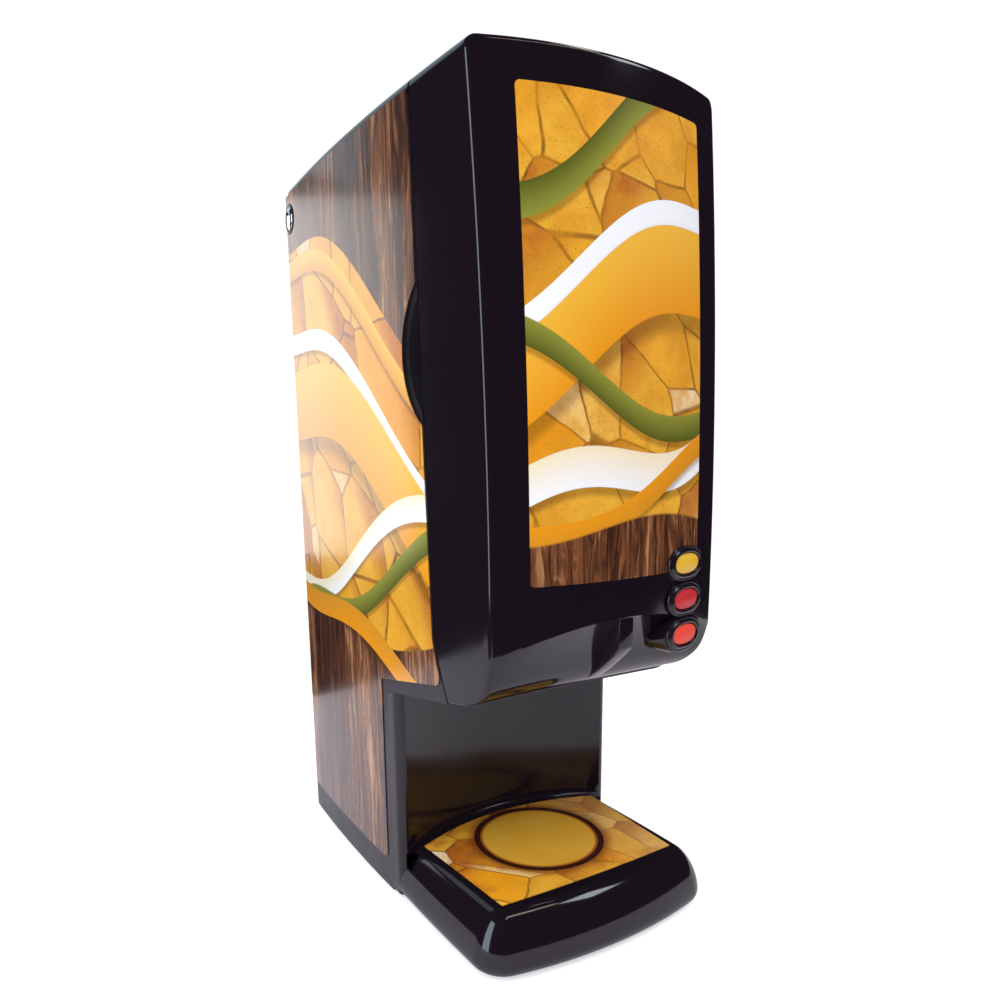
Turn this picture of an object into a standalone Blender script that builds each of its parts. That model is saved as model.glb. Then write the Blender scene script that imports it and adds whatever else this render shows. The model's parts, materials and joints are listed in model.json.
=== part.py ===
"""A countertop nacho cheese dispenser for bagged sauce, at its real size in metres.

X runs to the viewer's right, Y to the rear and Z up. The origin is the middle of the footprint, on the counter.
The cabinet leans over a low foot; its full-height door carries a picture window and three push buttons.
"""

import math

import bmesh
import bpy
from mathutils import Matrix, Vector

# Fits
GAP = 0.0003  # between neighbouring pieces
OVERRUN = 0.01  # how far a cutter runs past what it cuts
SHEET = 0.002  # steel panels
WALL = 0.003  # moulded plastic

# Cabinet
TOP_Z = 0.684
FOOT_HEIGHT = 0.004
HALF_WIDTH = 0.1225
SIDE_RADIUS = 2.17  # the sides bow outward in plan
WIDEST_Y = 0.030
REAR_Y = 0.198
COVER_DEPTH = 0.012
COVER_ROUND = 0.008
NECK_SEAM_Y = -0.0185
HEAD_REAR_Z = 0.2027  # underside of the head at the neck seam
HEAD_RISE_SHARE = 0.149  # the underside rises toward the front
SEAM_TOP_Y = -0.0865  # door to cabinet seam at the top
SEAM_LEAN = 0.0202  # how far forward it runs by the foot of the head
SEAM_FOOT_Y = -0.1225
SEAM_HOOK_HEIGHT = 0.050  # the seam curls forward over this height
SEAM_GAP = 0.002

# Door
FRONT_Y = -0.1772  # front corner line of the door at its most forward
FRONT_APEX_Z = 0.291
FRONT_RADIUS = 3.79  # the door bows forward in profile
FACE_BOW = 0.0208  # and its face bows forward in plan
CHIN_HEIGHT = 0.0635
CHIN_ARCH = 0.024  # drop of the chin's crease toward the corners
CHIN_SETBACK = 0.0057
CHIN_BOW = 0.006
CHIN_CURVE = 1.8  # over 1 hollows the chin in profile
LIP_ROUND = 0.006
DOOR_TOP_ROUND = 0.010  # upper corner on the hinge side
DOOR_FOOT_ROUND = 0.035  # and the lower one
DOOR_EDGE_ROUND = 0.002
NOSE_WIDTH = 0.014
NOSE_SETBACK = 0.0055  # behind the crown of the face
NOSE_HEIGHT = 0.026
WINDOW_MARGIN = 0.0385  # from the widest side
WINDOW_HALF = HALF_WIDTH - WINDOW_MARGIN
WINDOW_LOW_Z = 0.318
WINDOW_HIGH_Z = 0.6565
WINDOW_ROUND = 0.006
WINDOW_THICKNESS = 0.0015
DOOR_RANGE = 105.0

# Hinge of the door
HINGE_INSET = 0.0145
HINGE_X = HALF_WIDTH - HINGE_INSET
HINGE_Y = -0.142
HINGE_PIN_RADIUS = 0.004
HINGE_HEAD_RADIUS = 0.0058
HINGE_HEAD_HEIGHT = 0.004
HINGE_BOSS_RADIUS = 0.0068
HINGE_EAR_RADIUS = 0.006
HINGE_EAR_WIDTH = 0.016
HINGE_EAR_DROP = 0.006  # top ear below the cover
LOWER_EAR_RISE = 0.030  # lower ear above the foot of the seam
HINGE_BOSS_DEPTH = 0.012
HINGE_SLOT_REACH = 0.0105  # ahead of the pin, for the ear as the door opens

# Buttons
BUTTON_INSET = 0.0565
BUTTON_X = HALF_WIDTH - BUTTON_INSET
BUTTON_TOP_Z = 0.323
BUTTON_PITCH = 0.0292
CAP_WIDTH = 0.033
CAP_HEIGHT = 0.0165
CAP_CROWN = 0.0015
CAP_DEPTH = 0.015
BEZEL_WIDTH = 0.048
BEZEL_HEIGHT = 0.0282
BEZEL_PROUD = 0.0035
PAD_DEPTH = 0.026
SLEEVE_WALL = 0.0025
SLEEVE_DEPTH = 0.009
CAP_PROUD = 0.0012
CAP_LIP = 0.0014
CAP_LIP_DEPTH = 0.002
BUTTON_TRAVEL = 0.003
BOARD_THICKNESS = 0.0016
BOARD_WIDTH = 0.030
SWITCH_SIDE = 0.008
CAP_SQUARENESS = 2.3  # exponent of the ovals

# Foot and neck
BASE_TOP_Z = 0.054
BASE_FRONT_Y = -0.1935
BASE_FRONT_RADIUS = 0.330
BASE_CORNER_RADIUS = 0.026
BASE_ROUND = 0.014
BASE_TUCK = 0.004
NECK_Y = -0.0095
NECK_BOW = 0.028  # the neck wall is hollow in plan
NECK_CORNER_RADIUS = 0.008
NECK_COVE = 0.009
NECK_LAP = 0.016
MAT_THICKNESS = 0.0015
MAT_RECESS = 0.0012
MAT_REAR_Y = -0.042
MAT_REAR_BOW = 0.0215
MAT_REAR_MARGIN = 0.0225
MAT_REAR_HALF = HALF_WIDTH - MAT_REAR_MARGIN
MAT_FRONT_Y = -0.160
MAT_FRONT_BOW = 0.0025
MAT_FRONT_MARGIN = 0.030
MAT_FRONT_HALF = HALF_WIDTH - MAT_FRONT_MARGIN
FOOT_RADIUS = 0.010
FOOT_INSET = 0.028

# Decorated films on the sides
FILM = 0.0005
FILM_MARGIN = 0.004
FILM_FOOT_MARGIN = 0.026
FILM_ROUND = 0.008

# Finger grip behind the door's free edge
GRIP_RADIUS = 0.067
GRIP_Z = 0.4905
GRIP_REACH = 0.026  # into the side panel
GRIP_DEPTH = 0.0115
GRIP_WALL = 0.0015

# Round cap on each side
SIDE_CAP_Y = 0.184
SIDE_CAP_Z = 0.652
SIDE_CAP_RADIUS = 0.014
SIDE_CAP_STEM_RADIUS = 0.009
SIDE_CAP_PROUD = 0.0035

# Heated chamber
LINER_WALL = 0.0015
LINER_MARGIN = 0.0205
LINER_HALF = HALF_WIDTH - LINER_MARGIN
LINER_TOP_Z = 0.660
LINER_REAR_Y = 0.140
BAY_FLOOR_Z = 0.236
BAY_WALL_Y = -0.0605
RAMP_FRONT_Z = 0.318
RAMP_REAR_Z = 0.336
FRAME_DEPTH = 0.004
FRAME_MARGIN = 0.0335
FRAME_HALF = HALF_WIDTH - FRAME_MARGIN
FRAME_SILL = 0.0045
FLOOR_THICKNESS = 0.0025
SHELF_Z = 0.208
RACK_Z = 0.490
RACK_THICKNESS = 0.0016
RACK_FRONT_Y = -0.060
RACK_LIP = 0.012
LEDGE = 0.006
INSULATION_FRONT_Y = -0.058
INSULATION_MARGIN = 0.0103
INSULATION_HALF = HALF_WIDTH - INSULATION_MARGIN
TRAY_LIP = 0.014
TRAY_THICKNESS = 0.0012
TRAY_SLOT_WIDTH = 0.040
TRAY_SLOT_LENGTH = 0.050

# Pump
PUMP_X = 0.033
PUMP_Z = 0.280
ROTOR_FRONT_Y = -0.092
ROTOR_DEPTH = 0.024
DISC_RADIUS = 0.030
DISC_THICKNESS = 0.0025
HUB_RADIUS = 0.010
ROLLER_RADIUS = 0.008
ROLLER_ORBIT = 0.024
ROLLER_PIN_RADIUS = 0.002
SHAFT_RADIUS = 0.004
TRACK_CLEARANCE = 0.003
TRACK_WALL = 0.006
PLATE_THICKNESS = 0.0035
PLATE_MARGIN = 0.004
CLAMP_PIVOT_RADIUS = 0.0055
CLAMP_PIN_RADIUS = 0.0025
CLAMP_RANGE = 45.0
KNOB_RADIUS = 0.008
KNOB_DEPTH = 0.008
KNOB_LOBE_SHARE = 0.12
GEARBOX_SIDE = 0.046
GEARBOX_DEPTH = 0.028
MOTOR_RADIUS = 0.018
MOTOR_LENGTH = 0.052
NOZZLE_BORE = 0.0065
NOZZLE_SLEEVE_RADIUS = 0.009
NOZZLE_FLANGE_RADIUS = 0.013
NOZZLE_FLANGE = 0.002
NOZZLE_LENGTH = 0.012

# Warm air
FAN_Z = 0.520
FAN_SIDE = 0.092
FAN_DEPTH = 0.025
FAN_BORE = 0.042
FAN_HUB_RADIUS = 0.017
FAN_TIP_CLEARANCE = 0.0015
FAN_BLADES = 7
FAN_BLADE_THICKNESS = 0.0015
FAN_PITCH = 35.0
FAN_STRUT = 0.004
FAN_STRUT_DEPTH = 0.003
FAN_AXLE_RADIUS = 0.003
GUARD_THICKNESS = 0.0016
GUARD_RINGS = 3
GUARD_BAR = 0.0022
HEATER_Z = 0.400
HEATER_WIDTH = 0.120
HEATER_HEIGHT = 0.060
HEATER_DEPTH = 0.014
HEATER_FINS = 8
HEATER_FIN_THICKNESS = 0.002
HEATER_BASE = 0.004

# Electrics
SUPPLY_LENGTH = 0.100
SUPPLY_WIDTH = 0.090
SUPPLY_HEIGHT = 0.038
SUPPLY_X = -0.040
SUPPLY_Y = 0.105
CONTROL_LENGTH = 0.090
CONTROL_WIDTH = 0.120
CONTROL_Y = 0.120
STANDOFF = 0.006
STANDOFF_RADIUS = 0.003
CONTROL_PARTS_HEIGHT = 0.010
INLET_X = 0.060
INLET_Z = 0.050
INLET_WIDTH = 0.027
INLET_HEIGHT = 0.020
INLET_DEPTH = 0.024
INLET_FLANGE = 0.004
INLET_CAVITY = 0.016
INLET_BLADE = 0.0018
FLANGE = 0.0012
ROCKER_X = 0.015
ROCKER_WIDTH = 0.014
ROCKER_HEIGHT = 0.021
ROCKER_DEPTH = 0.014
ROCKER_FRAME = 0.003
ROCKER_ANGLE = 9.0
VENT_WIDTH = 0.110
VENT_SLOT = 0.005
VENT_PITCH = 0.011
VENT_ROWS = 9
LOW_VENT_Z = 0.120
LOW_VENT_ROWS = 5

PARTS = bpy.data.collections.new("nacho_cheese_dispenser")
GUIDES = bpy.data.collections.new("cutters")

PLANES = {
    "X": Matrix(((0, 0, 1, 0), (1, 0, 0, 0), (0, 1, 0, 0), (0, 0, 0, 1))),
    "Y": Matrix(((1, 0, 0, 0), (0, 0, -1, 0), (0, 1, 0, 0), (0, 0, 0, 1))),
    "Z": Matrix.Identity(4),
}


# Scene and objects


def clear_scene():
    for obj in list(bpy.data.objects):
        bpy.data.objects.remove(obj, do_unlink=True)
    for collection in (PARTS, GUIDES):
        bpy.context.scene.collection.children.link(collection)


def guide(name, mesh):
    """A helper solid, out of the render until it is kept as a part."""
    obj = bpy.data.objects.new(name, mesh)
    GUIDES.objects.link(obj)
    obj.hide_render = True
    obj.display_type = "WIRE"
    return obj


def keep(obj, name, colour, roughness, metallic=0.0):
    """Turns a helper solid into a part of its own, with its own material."""
    GUIDES.objects.unlink(obj)
    PARTS.objects.link(obj)
    obj.hide_render = False
    obj.display_type = "TEXTURED"
    obj.name = name
    material = bpy.data.materials.new(name)
    material.use_nodes = True
    shader = material.node_tree.nodes["Principled BSDF"]
    shader.inputs["Base Color"].default_value = (*colour, 1.0)
    shader.inputs["Roughness"].default_value = roughness
    shader.inputs["Metallic"].default_value = metallic
    obj.data.materials.clear()
    obj.data.materials.append(material)
    obj.data.shade_smooth()
    obj.data.set_sharp_from_angle(angle=math.radians(30))
    return obj


def boolean(obj, other, operation):
    modifier = obj.modifiers.new(other.name, "BOOLEAN")
    modifier.operation = operation
    modifier.object = other
    return obj


def cut(obj, *others):
    for other in others:
        boolean(obj, other, "DIFFERENCE")
    return obj


def join(obj, *others):
    for other in others:
        boolean(obj, other, "UNION")
    return obj


def meet(obj, *others):
    for other in others:
        boolean(obj, other, "INTERSECT")
    return obj


def hang(place, turn, name, objects):
    """An empty on a joint's axis that carries the moving objects."""
    empty = bpy.data.objects.new(name, None)
    PARTS.objects.link(empty)
    empty.location = place
    empty.rotation_euler = turn
    bpy.context.view_layer.update()
    for obj in objects:
        obj.parent = empty
        obj.matrix_parent_inverse = empty.matrix_world.inverted()
    return empty


# Shapes


def mesh_from(name, bm):
    bmesh.ops.recalc_face_normals(bm, faces=bm.faces[:])
    mesh = bpy.data.meshes.new(name)
    bm.to_mesh(mesh)
    bm.free()
    return mesh


def box(name, low, high):
    bm = bmesh.new()
    bmesh.ops.create_cube(bm, size=1.0)
    low, high = Vector(low), Vector(high)
    for vert in bm.verts:
        vert.co = (low + high) / 2 + vert.co * (high - low)
    return guide(name, mesh_from(name, bm))


def prism(name, outlines, low, high, axis):
    """Flat outlines in the plane square to an axis, made solid between two places on it. Later ones are holes.

    The outlines are (y, z) pairs along X, (x, z) pairs along Y and (x, y) pairs along Z.
    """
    data = bpy.data.curves.new(name, "CURVE")
    data.dimensions = "2D"
    data.fill_mode = "BOTH"
    data.extrude = (high - low) / 2
    for outline in outlines:
        spline = data.splines.new("POLY")
        spline.points.add(len(outline) - 1)
        for point, (u, v) in zip(spline.points, outline):
            point.co = (u, v, 0, 1)
        spline.use_cyclic_u = True
    curve = bpy.data.objects.new(name, data)
    GUIDES.objects.link(curve)
    bpy.context.view_layer.update()
    evaluated = curve.evaluated_get(bpy.context.evaluated_depsgraph_get())
    mesh = bpy.data.meshes.new_from_object(evaluated)
    bpy.data.objects.remove(curve, do_unlink=True)
    middle = (low + high) / 2
    offset = {"X": (middle, 0, 0), "Y": (0, middle, 0), "Z": (0, 0, middle)}[axis]
    mesh.transform(Matrix.Translation(offset) @ PLANES[axis])
    bm = bmesh.new()
    bm.from_mesh(mesh)
    bmesh.ops.remove_doubles(bm, verts=bm.verts[:], dist=GAP / 100)
    bpy.data.meshes.remove(mesh)
    return guide(name, mesh_from(name, bm))


def rod(name, centre, radius, low, high, axis, sides=24, end_radius=None):
    """A round bar, or a cone where it ends in another radius."""
    bm = bmesh.new()
    bmesh.ops.create_cone(
        bm,
        cap_ends=True,
        segments=sides,
        radius1=radius,
        radius2=radius if end_radius is None else end_radius,
        depth=high - low,
    )
    u, v = centre
    middle = (low + high) / 2
    place = {"X": (middle, u, v), "Y": (u, middle, v), "Z": (u, v, middle)}[axis]
    turn = {
        "X": Matrix.Rotation(math.pi / 2, 4, "Y"),
        "Y": Matrix.Rotation(-math.pi / 2, 4, "X"),
        "Z": Matrix.Identity(4),
    }[axis]
    bm.transform(Matrix.Translation(place) @ turn)
    return guide(name, mesh_from(name, bm))


def loft(name, rings):
    """A solid skinned over rings of equally many points."""
    bm = bmesh.new()
    rows = [[bm.verts.new(point) for point in ring] for ring in rings]
    count = len(rows[0])
    for below, above in zip(rows, rows[1:]):
        for i in range(count):
            j = (i + 1) % count
            bm.faces.new((below[i], below[j], above[j], above[i]))
    bm.faces.new(rows[0][::-1])
    bm.faces.new(rows[-1])
    return guide(name, mesh_from(name, bm))


# Outlines


def arc(centre, radius, start, end, count):
    """Points on an arc, its angles in degrees."""
    points = []
    for i in range(count + 1):
        angle = math.radians(start + (end - start) * i / count)
        points.append((centre[0] + radius * math.cos(angle), centre[1] + radius * math.sin(angle)))
    return points


def circle(centre, radius, count=32):
    return arc(centre, radius, 0, 360, count)[:-1]


def rectangle(low, high, radii=(0, 0, 0, 0), count=5):
    """Anticlockwise from the lower left, with a radius for each corner."""
    corners = (
        (low[0], low[1], 1, 1, 180),
        (high[0], low[1], -1, 1, 270),
        (high[0], high[1], -1, -1, 0),
        (low[0], high[1], 1, -1, 90),
    )
    points = []
    for (u, v, right, up, start), radius in zip(corners, radii):
        if radius == 0:
            points.append((u, v))
        else:
            points += arc((u + right * radius, v + up * radius), radius, start, start + 90, count)
    return points


def oval(width, height, count=28):
    """A squared-off oval about its own middle."""
    points = []
    for i in range(count):
        angle = 2 * math.pi * i / count
        across, up = math.cos(angle), math.sin(angle)
        x = math.copysign(abs(across) ** (2 / CAP_SQUARENESS), across) * width / 2
        y = math.copysign(abs(up) ** (2 / CAP_SQUARENESS), up) * height / 2
        points.append((x, y))
    return points


def steps(start, end, count):
    return [start + (end - start) * i / count for i in range(count + 1)]


# The body's main surfaces


def arc_drop(distance, radius):
    return radius - math.sqrt(radius**2 - distance**2)


def side_x(y, inset=0.0):
    """Half the width of the body at a depth."""
    return HALF_WIDTH - inset - arc_drop(y - WIDEST_Y, SIDE_RADIUS)


def head_z(y):
    """The underside of the head."""
    return HEAD_REAR_Z + HEAD_RISE_SHARE * (NECK_SEAM_Y - y)


SEAM_FOOT_Z = head_z(SEAM_FOOT_Y)


def seam_y(z):
    """The door's rear edge, seen from the side."""
    leaning = SEAM_TOP_Y - SEAM_LEAN * (TOP_Z - z) / (TOP_Z - SEAM_FOOT_Z)
    curl_share = max(0.0, 1 - (z - SEAM_FOOT_Z) / SEAM_HOOK_HEIGHT)
    return leaning + (SEAM_FOOT_Y - SEAM_TOP_Y + SEAM_LEAN) * curl_share**1.3


def seam_line(shift, low_z, high_z):
    """(y, z) points up the seam, shifted to the rear."""
    bend = SEAM_FOOT_Z + SEAM_HOOK_HEIGHT
    heights = [low_z] + [z for z in steps(SEAM_FOOT_Z, bend, 4)[1:] if low_z < z < high_z] + [high_z]
    return [(seam_y(z) + shift, z) for z in heights]


FACE_HALF = side_x(FRONT_Y)
CABINET_TOP_Z = TOP_Z - COVER_DEPTH - GAP


def face_y(x, z):
    """The door's bowed face."""
    profile = FRONT_Y + arc_drop(z - FRONT_APEX_Z, FRONT_RADIUS)
    return profile - FACE_BOW * (1 - (x / FACE_HALF) ** 2)


def chin_foot(x):
    """(y, z) of the chin's lower edge."""
    y = FRONT_Y + CHIN_SETBACK + CHIN_BOW * (1 - (x / FACE_HALF) ** 2)
    return y, head_z(y)


def crease_z(x):
    return chin_foot(0)[1] + CHIN_HEIGHT - CHIN_ARCH * (x / FACE_HALF) ** 2


def front_y(x, z):
    """The whole front of the door: the bowed face, the chin that falls back below its crease, and the rolled lip."""
    crease = crease_z(x)
    if z >= crease:
        return face_y(x, z)
    foot_y, foot_z = chin_foot(x)
    height_share = max(0.0, (z - foot_z) / (crease - foot_z))
    slope = foot_y + (face_y(x, crease) - foot_y) * height_share**CHIN_CURVE
    above_roll = LIP_ROUND - min(LIP_ROUND, max(0.0, z - foot_z))
    return slope + arc_drop(above_roll, LIP_ROUND)


def plan_between(name, inset, rear_y, fore_y, low_z, high_z, count=12):
    """The body's plan between two depths, as an upright block."""
    depths = steps(rear_y, fore_y, count)
    left = [(-side_x(y, inset), y) for y in depths]
    right = [(side_x(y, inset), y) for y in reversed(depths)]
    return prism(name, [left + right], low_z, high_z, "Z")


def across_body(name, outline, inset):
    """A side view outline carried across the body and trimmed to its bowed sides."""
    depths = [y for y, z in outline]
    heights = [z for y, z in outline]
    plan = plan_between(
        name + "_plan",
        inset,
        max(depths) + OVERRUN,
        min(depths) - OVERRUN,
        min(heights) - OVERRUN,
        max(heights) + OVERRUN,
    )
    return meet(prism(name, [outline], -HALF_WIDTH - OVERRUN, HALF_WIDTH + OVERRUN, "X"), plan)


def side_sheet(name, outline, side, inner, outer):
    """A sheet on one side of the body: bowed in plan, its edge given in side view."""
    depths = steps(REAR_Y + OVERRUN, SEAM_FOOT_Y - OVERRUN, 12)
    strip = [(side * side_x(y, -outer), y) for y in depths]
    strip += [(side * side_x(y, -inner), y) for y in reversed(depths)]
    sheet = prism(name, [strip], 0, TOP_Z + OVERRUN, "Z")
    reach = side * (HALF_WIDTH + OVERRUN)
    edge = prism(name + "_edge", [outline], min(reach, side * REAR_Y / 4), max(reach, side * REAR_Y / 4), "X")
    return meet(sheet, edge)


# Cabinet


def cabinet_side_outline():
    """(y, z) round the side panel."""
    front = seam_line(SEAM_GAP, head_z(SEAM_FOOT_Y + SEAM_GAP), CABINET_TOP_Z)
    return [
        (REAR_Y, FOOT_HEIGHT),
        (REAR_Y, CABINET_TOP_Z),
        *reversed(front),
        (NECK_SEAM_Y, head_z(NECK_SEAM_Y)),
        (NECK_SEAM_Y, FOOT_HEIGHT),
    ]


def grip_centre():
    """(y, z) of the round the finger grip is cut to."""
    return seam_y(GRIP_Z) + SEAM_GAP + GRIP_REACH - GRIP_RADIUS, GRIP_Z


def grip_rod(name, radius, inner_x):
    return rod(name, grip_centre(), radius, -HALF_WIDTH - OVERRUN, -inner_x, "X", 64)


def make_side_panels():
    dark = (0.012, 0.011, 0.014)
    for name, side in (("left_side_panel", -1), ("right_side_panel", 1)):
        panel = side_sheet(name, cabinet_side_outline(), side, -SHEET, 0)
        stem = rod(
            name + "_cap_hole",
            (SIDE_CAP_Y, SIDE_CAP_Z),
            SIDE_CAP_STEM_RADIUS + GAP,
            min(0, side * (HALF_WIDTH + OVERRUN)),
            max(0, side * (HALF_WIDTH + OVERRUN)),
            "X",
        )
        cut(panel, stem)
        if side < 0:
            cut(panel, grip_rod("grip_notch", GRIP_RADIUS, side_x(SEAM_TOP_Y, SHEET + OVERRUN)))
        keep(panel, name, dark, 0.3)


def make_side_films():
    """The decorated films: inside the panel's edge, cut round the grip and the cap."""
    foot_z = FOOT_HEIGHT + FILM_FOOT_MARGIN
    front = seam_line(SEAM_GAP + FILM_MARGIN, head_z(SEAM_FOOT_Y) + FILM_MARGIN, CABINET_TOP_Z - FILM_MARGIN)
    neck_y = NECK_SEAM_Y + FILM_MARGIN
    inner_z = head_z(neck_y) + FILM_MARGIN
    corner = arc((neck_y + FILM_ROUND, foot_z + FILM_ROUND), FILM_ROUND, 270, 180, 4)
    outline = [
        (REAR_Y - FILM_MARGIN / 2, foot_z),
        (REAR_Y - FILM_MARGIN / 2, CABINET_TOP_Z - FILM_MARGIN),
        *reversed(front),
        (neck_y, inner_z),
        *reversed(corner),
    ]
    for name, side in (("left_graphic_film", -1), ("right_graphic_film", 1)):
        film = side_sheet(name, outline, side, GAP, GAP + FILM)
        cap = rod(
            name + "_cap_hole",
            (SIDE_CAP_Y, SIDE_CAP_Z),
            SIDE_CAP_RADIUS + FILM,
            min(0, side * (HALF_WIDTH + OVERRUN)),
            max(0, side * (HALF_WIDTH + OVERRUN)),
            "X",
            32,
        )
        cut(film, cap)
        if side < 0:
            cut(film, grip_rod("film_notch", GRIP_RADIUS + FILM, side_x(SEAM_TOP_Y, SHEET + OVERRUN)))
        keep(film, name, (0.62, 0.33, 0.08), 0.3)


def make_side_caps():
    """Each cap sits square to the bowed panel, its stem through the panel's hole."""
    lean = math.asin((SIDE_CAP_Y - WIDEST_Y) / SIDE_RADIUS)
    place = Matrix.Translation((side_x(SIDE_CAP_Y), SIDE_CAP_Y, SIDE_CAP_Z)) @ Matrix.Rotation(lean, 4, "Z")
    for name, side in (("left_side_cap", -1), ("right_side_cap", 1)):
        end_radius = SIDE_CAP_RADIUS - SIDE_CAP_PROUD / 2
        cap = rod(name, (0, 0), SIDE_CAP_RADIUS, 2 * GAP, SIDE_CAP_PROUD, "X", 32, end_radius)
        stem = rod(name + "_stem", (0, 0), SIDE_CAP_STEM_RADIUS, -SHEET, 3 * GAP, "X")
        for solid in (cap, stem):
            solid.data.transform(Matrix.Scale(side, 4, (1, 0, 0)) @ place)
            if side < 0:
                solid.data.flip_normals()
        keep(join(cap, stem), name, (0.75, 0.76, 0.78), 0.2, 1.0)


def cover_ring(inset, z):
    """The top cover's outline, drawn in at its sides and rear by an inset."""
    front = SEAM_TOP_Y + SEAM_GAP
    corner = max(COVER_ROUND - inset, GAP)
    rear = REAR_Y - inset - corner
    half = side_x(rear, inset) - corner
    depths = steps(front, rear, 10)
    left = [(-side_x(y, inset), y, z) for y in depths[:-1]]
    right = [(side_x(y, inset), y, z) for y in reversed(depths[:-1])]
    rear_left = [(x, y, z) for x, y in arc((-half, rear), corner, 180, 90, 5)]
    rear_right = [(x, y, z) for x, y in arc((half, rear), corner, 90, 0, 5)]
    return left + rear_left + rear_right + right


def make_top_cover():
    rings = [cover_ring(0, TOP_Z - COVER_DEPTH)]
    for angle in steps(0, 90, 5):
        turn = math.radians(angle)
        inset = COVER_ROUND * (1 - math.cos(turn))
        rings.append(cover_ring(inset, TOP_Z - COVER_ROUND * (1 - math.sin(turn))))
    cover = loft("top_cover", rings)
    hollow = plan_between(
        "cover_hollow",
        WALL,
        REAR_Y - WALL,
        SEAM_TOP_Y + SEAM_GAP + WALL,
        TOP_Z - COVER_DEPTH - OVERRUN,
        TOP_Z - WALL,
    )
    keep(cut(cover, hollow), "top_cover", (0.012, 0.011, 0.014), 0.22)


def vent_slots(middle_z, rows):
    slots = []
    for i in range(rows):
        z = middle_z + (i - (rows - 1) / 2) * VENT_PITCH
        low = (-VENT_WIDTH / 2, z - VENT_SLOT / 2)
        high = (VENT_WIDTH / 2, z + VENT_SLOT / 2)
        slots.append(rectangle(low, high, [VENT_SLOT / 2 - GAP] * 4, 4))
    return slots


def make_rear_panel():
    half = side_x(REAR_Y, SHEET + GAP)
    edge = rectangle((-half, FOOT_HEIGHT), (half, CABINET_TOP_Z))
    inlet = rectangle(
        (INLET_X - INLET_WIDTH / 2 - GAP, INLET_Z - INLET_HEIGHT / 2 - GAP),
        (INLET_X + INLET_WIDTH / 2 + GAP, INLET_Z + INLET_HEIGHT / 2 + GAP),
    )
    rocker = rectangle(
        (ROCKER_X - ROCKER_WIDTH / 2 - ROCKER_FRAME / 2 - GAP, INLET_Z - ROCKER_HEIGHT / 2 - ROCKER_FRAME / 2 - GAP),
        (ROCKER_X + ROCKER_WIDTH / 2 + ROCKER_FRAME / 2 + GAP, INLET_Z + ROCKER_HEIGHT / 2 + ROCKER_FRAME / 2 + GAP),
    )
    holes = [inlet, rocker, *vent_slots(FAN_Z, VENT_ROWS), *vent_slots(LOW_VENT_Z, LOW_VENT_ROWS)]
    panel = prism("rear_panel", [edge, *holes], REAR_Y - SHEET, REAR_Y, "Y")
    keep(panel, "rear_panel", (0.012, 0.011, 0.014), 0.4)


def make_bottom_plate():
    outline = base_outline(WALL + SHEET + 2 * GAP, REAR_Y - SHEET - GAP)
    plate = prism("bottom_plate", [outline], FOOT_HEIGHT, FOOT_HEIGHT + SHEET, "Z")
    keep(plate, "bottom_plate", (0.45, 0.46, 0.47), 0.4, 1.0)


def make_feet():
    places = []
    for y in (REAR_Y - FOOT_INSET, BASE_FRONT_Y + 2 * FOOT_INSET):
        places += [(-HALF_WIDTH + FOOT_INSET, y), (HALF_WIDTH - FOOT_INSET, y)]
    for i, place in enumerate(places):
        foot = rod(f"foot_{i + 1}", place, FOOT_RADIUS * 0.8, 0, FOOT_HEIGHT - GAP, "Z", 24, FOOT_RADIUS)
        keep(foot, f"foot_{i + 1}", (0.02, 0.02, 0.02), 0.9)


# Foot and neck


def base_outline(inset, rear_y):
    """The foot's plan: bowed sides, round front corners and a bowed front, drawn in by an inset."""
    corner_y = BASE_FRONT_Y + 2 * BASE_CORNER_RADIUS
    centre_y = BASE_FRONT_Y + BASE_FRONT_RADIUS
    for _ in range(4):
        corner_x = side_x(corner_y) - BASE_CORNER_RADIUS
        corner_y = centre_y - math.sqrt((BASE_FRONT_RADIUS - BASE_CORNER_RADIUS) ** 2 - corner_x**2)
    lean = math.degrees(math.atan2(corner_x, centre_y - corner_y))
    left = [(-side_x(y, inset), y) for y in steps(rear_y, corner_y, 8)[:-1]]
    right = [(-x, y) for x, y in reversed(left)]
    corner = arc((-corner_x, corner_y), BASE_CORNER_RADIUS - inset, 180, 270 - lean, 6)
    front = arc((0, centre_y), BASE_FRONT_RADIUS - inset, 270 - lean, 270 + lean, 12)[1:-1]
    return left + corner + front + [(-x, y) for x, y in reversed(corner)] + right


def neck_outline(forward, inset, lap):
    """The neck's plan, with its hollow front carried forward and its walls drawn in by an inset."""
    reach = side_x(NECK_SEAM_Y, inset)
    radius = NECK_CORNER_RADIUS - min(inset, NECK_CORNER_RADIUS - GAP)
    half = reach - radius
    front = [
        (x, NECK_Y + inset - forward - NECK_BOW * (x / half) ** 2)
        for x in steps(-half, half, 16)
    ]
    corner_y = NECK_Y + inset - NECK_BOW + radius - forward
    left = arc((-half, corner_y), radius, 180, 270, 4)[:-1]
    right = arc((half, corner_y), radius, 270, 360, 4)[1:]
    step_y = NECK_SEAM_Y - GAP - inset
    inner = reach - SHEET - GAP
    rear = [(reach, step_y), (inner, step_y), (inner, NECK_SEAM_Y + lap)]
    return left + front + right + rear + [(-x, y) for x, y in reversed(rear)]


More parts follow.
